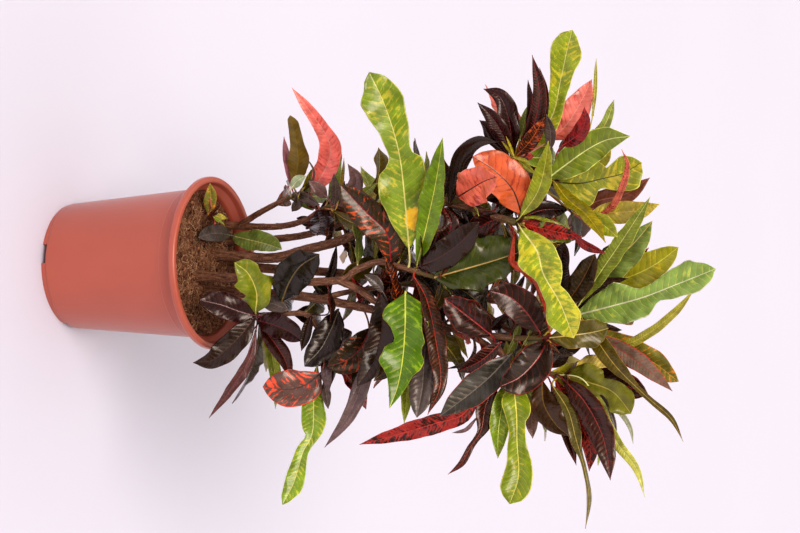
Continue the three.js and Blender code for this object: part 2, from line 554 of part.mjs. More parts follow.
// Woody stems: tapering tubes with a ring at each read place; one from the soil has a straight root
function branchOf([path, low, high]) {
  const points = path.map(([x, z, y]) => seen(x, z, y));
  const rooted = Math.abs(points[0].z - SOIL_Z) < ROOT_RISE;
  if (rooted) points[0].z = SOIL_Z + ROOT_RISE;
  const line = new Line(points);
  const ringAt = (centre, direction, radius) => {
    const { side, face } = frameOf(direction, FRONT, 0);
    return Array.from({ length: STEM_SIDES }, (_, k) => {
      const angle = -2 * Math.PI * k / STEM_SIDES;
      const spoke = side.clone().multiplyScalar(Math.cos(angle)).addScaledVector(face, Math.sin(angle));
      return centre.clone().addScaledVector(spoke, radius);
    });
  };
  const ringsWith = (grow) => {
    const rings = points.map((point, i) => {
      const share = line.runs[i * SPAN_STEPS] / line.length;
      const direction = rooted && i === 0 ? UP : line.directionAt(share);
      return ringAt(point, direction, lerp(low, high, share) + grow);
    });
    const root = points[0].clone().setZ(SOIL_Z - ROOT_DEPTH);
    return rooted ? [ringAt(root, UP, low + grow), ...rings] : rings;
  };
  const axis = points.slice(1).flatMap((point, i) => Array.from({ length: SPAN_STEPS }, (_, k) => {
    return points[i].clone().lerp(point, (k + 1) / SPAN_STEPS);
  }));
  return {
    line,
    axis,
    rooted,
    radius: low,
    geometry: toGeometry(skin(ringsWith(0), true)),
    shell: surfaceOf(skin(ringsWith(CLEARANCE), true)),
  };
}

// A leaf stands on the nearest free place along its plant's branches, no higher than its blade
function rootOn({ branches, roots }, point) {
  const costOf = (place) => {
    const gaps = roots.map((other) => Math.max(0, ROOT_SPACING - place.distanceTo(other)));
    const crowding = gaps.reduce((sum, gap) => sum + gap, 0);
    return place.distanceTo(point) + Math.max(0, place.z - point.z) + CROWDING_COST * crowding;
  };
  let best = null;
  for (const place of branches.flatMap(({ axis }) => axis)) {
    const cost = costOf(place);
    if (!best || cost < best.cost) best = { place, cost };
  }
  return best.place;
}

// Sections of a leaf from its root in the stem to its tip
function sectionsOf({ points, form, width, turn, facing }, root) {
  const line = new Line(points);
  const sections = FORMS[form].map(([share, breadth], i) => {
    const centre = line.at(share);
    const towards = facing ?? EYE.clone().sub(centre).normalize();
    const half = Math.max(breadth * width / 2, i === 0 ? STALK_RADIUS : 0);
    return { centre, ...frameOf(line.directionAt(share), towards, turn), half, wave: i % 2 ? WAVE : -WAVE };
  });
  const stalk = sections[0].centre.clone().sub(root);
  const frame = frameOf(stalk.clone().normalize(), sections[0].face, 0);
  const foot = { centre: root, ...frame, half: STALK_RADIUS, wave: 0 };
  return [foot, ...sections.slice(stalk.length() < SHORT_STALK ? 1 : 0)];
}

// Left edge, midrib and right edge of a section, grown sideways and lifted off the sheet
function chordOf({ centre, side, face, half, wave }, grow, lift) {
  const edge = (sign) => centre.clone()
    .addScaledVector(side, sign * (Math.cos(FOLD) * half + grow))
    .addScaledVector(face, Math.sin(FOLD) * half + sign * wave * half + lift);
  return [edge(-1), centre.clone().addScaledVector(face, lift), edge(1)];
}

// The closed blade, thickest at the midrib, both faces split alike, ending in a point
function bladeGeometry(sections) {
  const rings = sections.slice(0, -1).map((section, i) => {
    const thickness = i < 2 ? STALK_RADIUS : BLADE_HALF_THICKNESS;
    const [left, , right] = chordOf(section, 0, 0);
    const [, over] = chordOf(section, 0, thickness);
    const [, under] = chordOf(section, 0, -thickness);
    return [left, over, right, under];
  });
  const triangles = [[0, 2, 1], [0, 3, 2]];
  const [left, over, right, under] = [0, 1, 2, 3];
  const span = (a, b, inner, outer, below) => {
    const pair = [[a + outer, a + inner, b + inner], [a + outer, b + inner, b + outer]];
    triangles.push(...(below ? pair.map(([p, q, r]) => [p, r, q]) : pair));
  };
  for (let a = 0; a + 4 < rings.length * 4; a += 4) {
    const b = a + 4;
    span(a, b, over, left, false);
    span(b, a, over, right, false);
    span(a, b, under, left, true);
    span(b, a, under, right, true);
  }
  const end = rings.length * 4 - 4;
  for (let k = 0; k < 4; k += 1) triangles.push([end + k, end + (k + 1) % 4, end + 4]);
  return toGeometry({ points: [...rings.flat(), sections.at(-1).centre], triangles });
}

function leafOn(plant, leaf) {
  const root = rootOn(plant, leaf.points[0]);
  const sections = sectionsOf(leaf, root);
  const sheet = (some) => surfaceOf(skin(some.map((section) => chordOf(section, 0, 0)), false));
  const shell = surfaceOf(skin(sections.map((section) => {
    const lift = CLEARANCE + BLADE_HALF_THICKNESS;
    return [...chordOf(section, CLEARANCE, lift), ...chordOf(section, CLEARANCE, -lift).reverse()];
  }), true));
  return { root, sections, sheet: sheet(sections), blade: sheet(sections.slice(2)), shell };
}

// Leaves keep off the lip and the soil, and inside the mouth they keep off the wall
function clearOfPot({ points }) {
  return points.every((point) => {
    const out = Math.hypot(point.x, point.y);
    const mouth = mapLinear(point.z, SOIL_Z, POT_HEIGHT, BODY_TOP_RADIUS - WALL, MOUTH_RADIUS);
    const over = point.z > POT_HEIGHT + POT_GAP;
    const inside = point.z > SOIL_Z + SOIL_RELIEF + POT_GAP && out < mouth - POT_GAP;
    return over || inside || out > LIP_RADIUS + POT_GAP;
  });
}

// Keeps the first way of laying a leaf that meets no other plant, and as few leaves of its own as it can
function settle(name, plant, ways, placed, most) {
  let best = null;
  for (const way of ways) {
    const leaf = leafOn(plant, way);
    const touched = clearOfPot(leaf.blade) && placed.filter((other) => {
      if (other.name === name) return meets(other.shell, leaf.blade);
      return meets(other.shell, leaf.sheet) || (other.sheet && meets(leaf.shell, other.sheet));
    });
    if (!touched || touched.some((other) => other.name !== name)) continue;
    if (touched.length <= most && touched.length < (best?.crossed ?? Infinity)) {
      best = { ...leaf, crossed: touched.length };
    }
    if (best?.crossed === 0) break;
  }
  if (!best) return;
  plant.leaves.push(best.sections);
  plant.roots.push(best.root);
  placed.push({ name, shell: best.shell, sheet: best.sheet });
}

// A leaf read from the front, with the ways to swing its tip in depth and turn its blade
function waysOfRead([form, width, turn, baseY, tipY, path]) {
  const runs = runsOf(path.map(([x, z]) => new THREE.Vector3(x, 0, z)));
  const ways = TIP_SWINGS.flatMap((swing) => BLADE_TURNS.map((more) => [swing, more]));
  return ways.map(([swing, more]) => {
    const depthAt = (i) => lerp(baseY, tipY + swing, runs[i] / runs.at(-1));
    const points = path.map(([x, z], i) => seen(x, z, depthAt(i)));
    return { points, form, width, turn: degToRad(turn + more) };
  });
}

function diceFrom(seed) {
  let state = seed;
  return () => {
    state = state * 48271 % 2147483647;
    return state / 2147483647;
  };
}

// Leaves that wind down a branch at the back and sides, each with the ways to swing it round or up
function waysOfSpiral([branch, count, length, width, form, first], plant, roll) {
  const { line } = plant.branches[branch];
  const leaves = [];
  for (let i = 0; i < count * 2 && leaves.length < count; i += 1) {
    const round = degToRad(first) + i * GOLDEN_ANGLE + (roll() - 0.5) * ANGLE_SPREAD;
    const share = i / (count * 2 - 1);
    const reach = length * (1 + SIZE_SPREAD * (roll() - 0.5));
    const breadth = width * (1 + SIZE_SPREAD * (roll() - 0.5));
    const rise = lerp(TOP_RISE, LOW_RISE, share) + (roll() - 0.5) * ANGLE_SPREAD;
    if (Math.sin(round) < BEHIND) continue;
    const base = line.at(1 - SPIRAL_SHARE * share);
    const swings = ROUND_SWINGS.filter((swing) => Math.sin(round + swing) > BEHIND);
    leaves.push(RISE_SWINGS.flatMap((climb) => swings.map((swing) => {
      const away = new THREE.Vector3(Math.cos(round + swing), Math.sin(round + swing), 0);
      const facing = UP.clone().addScaledVector(away, FACE_LEAN).normalize();
      const points = SPIRAL_STATIONS.map((part) => base.clone()
        .addScaledVector(away, reach * Math.cos(rise + climb) * part)
        .addScaledVector(UP, reach * (Math.sin(rise + climb) * part - DROOP * part * part)));
      return { points, form, width: breadth, turn: 0, facing };
    })));
  }
  return leaves;
}

// Every plant's stems first, then the leaves read from the front, then the spirals
function growPlants() {
  const plants = Object.entries(PLANTS).map(([name, { branches, leaves, spirals }]) => {
    return { name, read: leaves, spirals, branches: branches.map(branchOf), roots: [], leaves: [] };
  });
  const placed = plants.flatMap(({ name, branches }) => branches.map(({ shell }) => ({ name, shell })));
  for (const plant of plants) {
    plant.read.forEach((row) => settle(plant.name, plant, waysOfRead(row), placed, Infinity));
  }
  const roll = diceFrom(SEED);
  for (const plant of plants) {
    for (const row of plant.spirals) {
      waysOfSpiral(row, plant, roll).forEach((ways) => settle(plant.name, plant, ways, placed, 0));
    }
  }
  return plants;
}

// The pot: one moulding turned round its axis, with drainage notches cut through the foot
function potSolid() {
  const mouthWall = BODY_TOP_RADIUS - WALL;
  const neckZ = LIP_UNDER_Z - NECK_DROP;
  const profile = [
    [0, 0],
    [PAD_RADIUS, 0],
    [PAD_RADIUS + 2, FLOOR_UNDER_Z],
    [FOOT_RADIUS - FOOT_WIDTH, FLOOR_UNDER_Z],
    [FOOT_RADIUS - FOOT_WIDTH + 1.5, 0],
    [FOOT_RADIUS, 0],
    [FOOT_RADIUS + 0.5, FOOT_STEP_Z],
    [BODY_LOW_RADIUS, FOOT_STEP_Z + 1.5],
    [BODY_TOP_RADIUS, neckZ],
    [MOUTH_RADIUS, LIP_UNDER_Z],
    [LIP_RADIUS - 1.5, LIP_UNDER_Z],
    [LIP_RADIUS, LIP_UNDER_Z + 2],
    [LIP_RADIUS, POT_HEIGHT - 2],
    [LIP_RADIUS - 2, POT_HEIGHT],
    [MOUTH_RADIUS + 1.5, POT_HEIGHT],
    [MOUTH_RADIUS, POT_HEIGHT - 1.5],
    [MOUTH_RADIUS - 1.5, LIP_UNDER_Z + 2],
    [mouthWall, neckZ],
    [BODY_LOW_RADIUS - WALL, FLOOR_Z],
    [0, FLOOR_Z],
  ];
  const outline = profile.map(([radius, z]) => new THREE.Vector2(radius, z));
  let pot = solidOf(new THREE.LatheGeometry(outline, POT_SIDES).rotateX(Math.PI / 2));
  for (let i = 0; i < NOTCH_COUNT; i += 1) {
    const notch = new THREE.BoxGeometry(FOOT_WIDTH * 3, NOTCH_WIDTH, NOTCH_HEIGHT * 2);
    notch.translate(FOOT_RADIUS, 0, 0);
    notch.rotateZ(NOTCH_TURN + 2 * Math.PI * i / NOTCH_COUNT);
    pot = pot.subtract(solidOf(notch));
  }
  return pot;
}

// The mix fills the pot to its level; its top is slightly uneven, with a plain hole for each stem
function soilSolid(stems) {
  const neckZ = LIP_UNDER_Z - NECK_DROP;
  const innerAt = (z) => mapLinear(z, FLOOR_Z, neckZ, BODY_LOW_RADIUS - WALL, BODY_TOP_RADIUS - WALL);
  const relief = (x, y) => SOIL_RELIEF * Math.sin(x / SOIL_WAVE) * Math.cos(y / SOIL_WAVE);
  const circle = (radius, z) => Array.from({ length: POT_SIDES }, (_, k) => {
    const angle = 2 * Math.PI * k / POT_SIDES;
    const [x, y] = [radius * Math.sin(angle), -radius * Math.cos(angle)];
    return new THREE.Vector3(x, y, z ?? SOIL_Z + relief(x, y));
  });
  const bottomZ = FLOOR_Z + SOIL_GAP;
  const edgeZ = SOIL_Z - SOIL_RELIEF;
  const edgeRadius = innerAt(edgeZ) - SOIL_GAP;
  const rings = [
    circle(innerAt(bottomZ) - SOIL_GAP, bottomZ),
    circle(edgeRadius, edgeZ),
    ...SOIL_RINGS.map((share) => circle(edgeRadius * share)),
  ];
  let soil = solidOf(toGeometry(skin(rings, true)));
  for (const { line, radius } of stems) {
    const { x, y } = line.at(0);
    const across = (radius + HOLE_GAP) / Math.cos(Math.PI / HOLE_SIDES);
    const hole = new THREE.CylinderGeometry(across, across, HOLE_DEPTH * 2, HOLE_SIDES);
    hole.rotateX(Math.PI / 2).translate(x, y, SOIL_Z + HOLE_DEPTH);
    soil = soil.subtract(solidOf(hole.translate(0, 0, -HOLE_DEPTH)));
  }
  return soil;
}

const terracotta = new THREE.MeshStandardMaterial({ color: "#c0634f", roughness: 0.45 });
const peat = new THREE.MeshStandardMaterial({ color: "#6a4530", roughness: 0.95 });
const foliage = new THREE.MeshStandardMaterial({ color: "#46501f", roughness: 0.35 });

const plants = growPlants();
const rootedStems = plants.flatMap(({ branches }) => branches.filter(({ rooted }) => rooted));
const croton = new THREE.Group();
croton.add(meshOf("pot", potSolid(), terracotta));
croton.add(meshOf("potting_mix", soilSolid(rootedStems), peat));
for (const { name, branches, leaves } of plants) {
  const solids = [...branches.map(({ geometry }) => geometry), ...leaves.map(bladeGeometry)].map(solidOf);
  croton.add(meshOf(name, wasm.Manifold.union(solids), foliage));
}

export default croton;
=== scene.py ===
"""Potted croton, dressed: waxy variegated leaves on woody stems, in peat and coir, in a moulded nursery pot.

Lengths are in millimetres until a mesh is made, +Z up, the front towards -Y.
"""
import math
import random

import bpy
import numpy as np
from mathutils import Matrix, Vector, noise
from mathutils.kdtree import KDTree


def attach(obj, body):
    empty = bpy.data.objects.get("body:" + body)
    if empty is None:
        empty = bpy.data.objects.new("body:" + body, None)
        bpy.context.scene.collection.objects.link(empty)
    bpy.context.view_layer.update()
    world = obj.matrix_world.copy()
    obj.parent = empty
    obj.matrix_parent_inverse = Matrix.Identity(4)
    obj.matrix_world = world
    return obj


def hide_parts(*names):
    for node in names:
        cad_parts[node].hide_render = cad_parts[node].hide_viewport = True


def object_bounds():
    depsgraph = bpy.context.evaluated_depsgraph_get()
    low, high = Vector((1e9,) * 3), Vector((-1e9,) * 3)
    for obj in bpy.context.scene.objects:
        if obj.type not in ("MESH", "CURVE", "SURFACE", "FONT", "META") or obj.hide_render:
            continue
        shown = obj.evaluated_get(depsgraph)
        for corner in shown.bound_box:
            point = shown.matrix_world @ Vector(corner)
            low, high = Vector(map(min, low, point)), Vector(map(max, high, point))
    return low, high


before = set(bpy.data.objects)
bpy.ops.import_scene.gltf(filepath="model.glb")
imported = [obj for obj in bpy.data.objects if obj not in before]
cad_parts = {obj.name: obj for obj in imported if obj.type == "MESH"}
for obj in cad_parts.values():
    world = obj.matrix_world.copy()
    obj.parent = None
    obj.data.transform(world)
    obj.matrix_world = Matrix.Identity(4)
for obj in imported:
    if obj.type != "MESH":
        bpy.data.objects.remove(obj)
cad_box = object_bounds()

MM = 0.001
solids_reach = np.array([tuple(corner) for corner in cad_box]) / MM

# Pot
POT_HEIGHT = 205
FOOT_RADIUS = 77.5
FOOT_WIDTH = 5
FOOT_STEP_Z = 6.5
BODY_LOW_Z = 8
BODY_LOW_RADIUS = 79.5
BODY_TOP_RADIUS = 93.5
LIP_RADIUS = 107.5
LIP_UNDER_Z = 196
MOUTH_RADIUS = 99.5
WALL = 2.6
NECK_Z = 191
FLOOR_UNDER_Z = 6
FLOOR_Z = 9
PAD_RADIUS = 18
NOTCH_WIDTH = 24
NOTCH_HEIGHT = 6
NOTCH_COUNT = 4
NOTCH_TURN = math.radians(-102)
NOTCH_STEP = 0.004
POT_SIDES = 180

# Potting mix
SOIL_Z = 188
SOIL_RELIEF = 1.5
SOIL_WAVE = 15
ROOT_RISE = 2.5
ROOT_DEPTH = 12

# Front view: its place, how far it looks down, how it is turned, and its reach in picture widths
EYE = np.array((9.0, -3000.0, 1804.0))
LOOK_DOWN = math.radians(24.2)
ROLL = math.radians(-1.14)
PICTURE_WIDTHS_AWAY = 2730 / 800
FILM_WIDTH = 36
FAR_CLIP = 100

# Leaves and stems, as in the solids
STALK_RADIUS = 1.35
HALF_THICKNESS = 0.75
WAVE = 0.12
FOLD = math.radians(14)
ROOT_SPACING = 7
CROWDING_COST = 1.5
SPAN_STEPS = 8
DIRECTION_SPAN = 0.03
SHORT_STALK = 14

# Leaf forms: (share of the length, share of the half width), from the stalk to the tip
FORMS = {
    "lance": [(0, 0.12), (0.24, 0.82), (0.5, 1), (0.78, 0.66), (1, 0)],
    "oval": [(0, 0.12), (0.2, 0.74), (0.48, 1), (0.76, 0.82), (0.92, 0.44), (1, 0)],
    "waisted": [(0, 0.08), (0.17, 0.7), (0.34, 1), (0.52, 0.43), (0.66, 0.6), (0.83, 0.76), (0.95, 0.46),
                (1, 0)],
    "spoon": [(0, 0.1), (0.18, 0.86), (0.42, 0.55), (0.62, 0.76), (0.82, 1), (0.94, 0.72), (1, 0)],
    "tailed": [(0, 0.12), (0.2, 0.92), (0.36, 0.8), (0.56, 0.28), (0.8, 0.3), (1, 0)],
    "strap": [(0, 0.3), (0.36, 1), (0.75, 0.8), (1, 0)],
    "lobed": [(0, 0.1), (0.14, 0.86), (0.34, 0.74), (0.58, 0.95), (0.72, 0.6), (0.84, 0.36), (1, 0)],
    "paddle": [(0, 0.12), (0.3, 0.95), (0.55, 0.55), (0.82, 0.8), (1, 0)],
    "broad": [(0, 0.12), (0.3, 0.9), (0.62, 1), (0.87, 0.55), (1, 0)],
}

# Where a blade juts out, or is notched (below 0), before it narrows: the side, the share of the length
# and the share of the half width, for a leaf form or for one tone
HOOKS = {
    "waisted": ((1, 0.5, 0.4), (-1, 0.42, 0.1), (-1, 0.86, 0.14)),
    "lobed": ((1, 0.22, 0.22), (1, 0.4, -0.3), (1, 0.6, 0.14),
              (-1, 0.46, 0.2), (-1, 0.56, -0.14), (-1, 0.68, 0.2)),
    "spoon": ((1, 0.3, 0.24), (-1, 0.2, 0.1), (-1, 0.9, 0.12)),
    "paddle": ((1, 0.42, 0.26), (-1, 0.36, 0.1)),
    "broad": ((1, 0.7, 0.16), (-1, 0.4, 0.08)),
    "lime_small": ((1, 0.3, 0.2), (1, 0.46, -0.3), (1, 0.72, 0.3), (-1, 0.5, 0.25), (-1, 0.66, -0.25)),
    "coral_small": ((1, 0.42, 0.12), (-1, 0.6, 0.14)),
    "coral": ((1, 0.56, 0.08), (-1, 0.76, 0.1)),
}
# A jut swells over the first share of the length and falls away over the second
HOOK_RISE = 0.1
HOOK_FALL = 0.03
# The side that juts are on, 1 or -1, of leaves seen well from the front; on the others it is drawn
HOOKED_SIDES = {"lime_speckled": 1, "pale_ribbed_big": 1, "green_veined": 1, "yellow_mottle": -1,
                "lime_mottle": -1}

# Outlines of two low leaves, fuller than in the solids
FULLER = {
    "coral_armed": [(0, 0.12), (0.2, 0.92), (0.4, 0.96), (0.6, 0.62), (0.82, 0.42), (1, 0)],
    "olive_brown": [(0, 0.12), (0.15, 0.72), (0.34, 1), (0.56, 0.74), (0.8, 0.52), (0.94, 0.4), (1, 0)],
}

# Woody stems: [(x, z, y) seen from the front, ...], the radius at the foot and at the top
BRANCHES = {
    "leafy_stem_left": [
        ([(-10, 205, 32), (-6, 250, 30), (-5, 290, 26), (-14, 330, 20), (-22, 370, 14), (-34, 405, 6),
          (-44, 430, 0), (-57, 480, -12), (-66, 515, -20), (-71, 545, -24)], 6.6, 4.6),
        ([(-71, 545, -24), (-78, 566, -20), (-96, 586, -16), (-118, 604, -20)], 4.2, 2.6),
        ([(-66, 518, -20), (-58, 556, -10), (-47, 584, -18), (-41, 606, -24)], 4.4, 4.8),
        ([(-71, 545, -24), (-74, 585, 0), (-80, 620, 12), (-86, 656, 14)], 3.8, 2.8),
    ],
    "leafy_stem_middle": [
        ([(16, 178, -18), (20, 240, -20), (25, 310, -22), (24, 376, -24), (13, 396, -26), (3, 426, -28),
          (8, 450, -32), (17, 482, -37), (23, 504, -40)], 6.8, 3),
        ([(24, 372, -24), (36, 400, -26), (51, 422, -28), (68, 455, -33), (85, 489, -40)], 4.6, 2.8),
    ],
    "leafy_stem_right": [
        ([(34, 190, 3), (41, 300, 0), (46, 345, -4), (52, 375, -6), (62, 425, -10), (75, 480, -12),
          (88, 540, -18), (96, 595, -26), (97, 636, -34)], 6.6, 3.4),
        ([(88, 540, -18), (112, 580, -12), (134, 625, -4), (141, 662, 0)], 4, 2.8),
        ([(92, 566, -22), (112, 585, -30), (142, 599, -40)], 3, 2.4),
        ([(46, 348, -4), (38, 390, 2), (34, 425, 6), (28, 470, 12)], 3.6, 2.4),
    ],
    "leafy_stem_back": [
        ([(4, 223, 66), (10, 300, 66), (16, 380, 62), (28, 460, 58), (44, 540, 54), (58, 610, 48),
          (66, 674, 42)], 6.2, 3),
        ([(28, 460, 58), (0, 520, 72), (-14, 590, 84), (-16, 650, 88)], 4, 2.6),
        ([(44, 540, 54), (84, 590, 70), (112, 650, 84)], 3.8, 2.6),
    ],
    "leafy_stem_behind_left": [
        ([(-26, 222, 62), (-28, 290, 60), (-34, 340, 56), (-52, 400, 54), (-68, 460, 56),
          (-76, 520, 60)], 5, 3),
    ],
    "leafy_stem_low_left": [
        ([(-46, 222, 62), (-43, 290, 48), (-50, 330, 28), (-61, 350, 10), (-66, 366, -4)], 4.6, 3),
        ([(-46, 240, 59), (-58, 262, 46), (-70, 288, 28), (-82, 318, 8)], 4.2, 2.8),
    ],
    "leafy_stem_low_right": [
        ([(56, 209, 40), (60, 240, 22), (66, 264, 4), (64, 300, -10), (66, 330, -14), (84, 344, -22),
          (110, 348, -28)], 4.6, 2.6),
    ],
    "low_shoot": [([(-56, 188, 0), (-58, 192, 0), (-60, 196, -1)], 2.2, 1.6)],
}

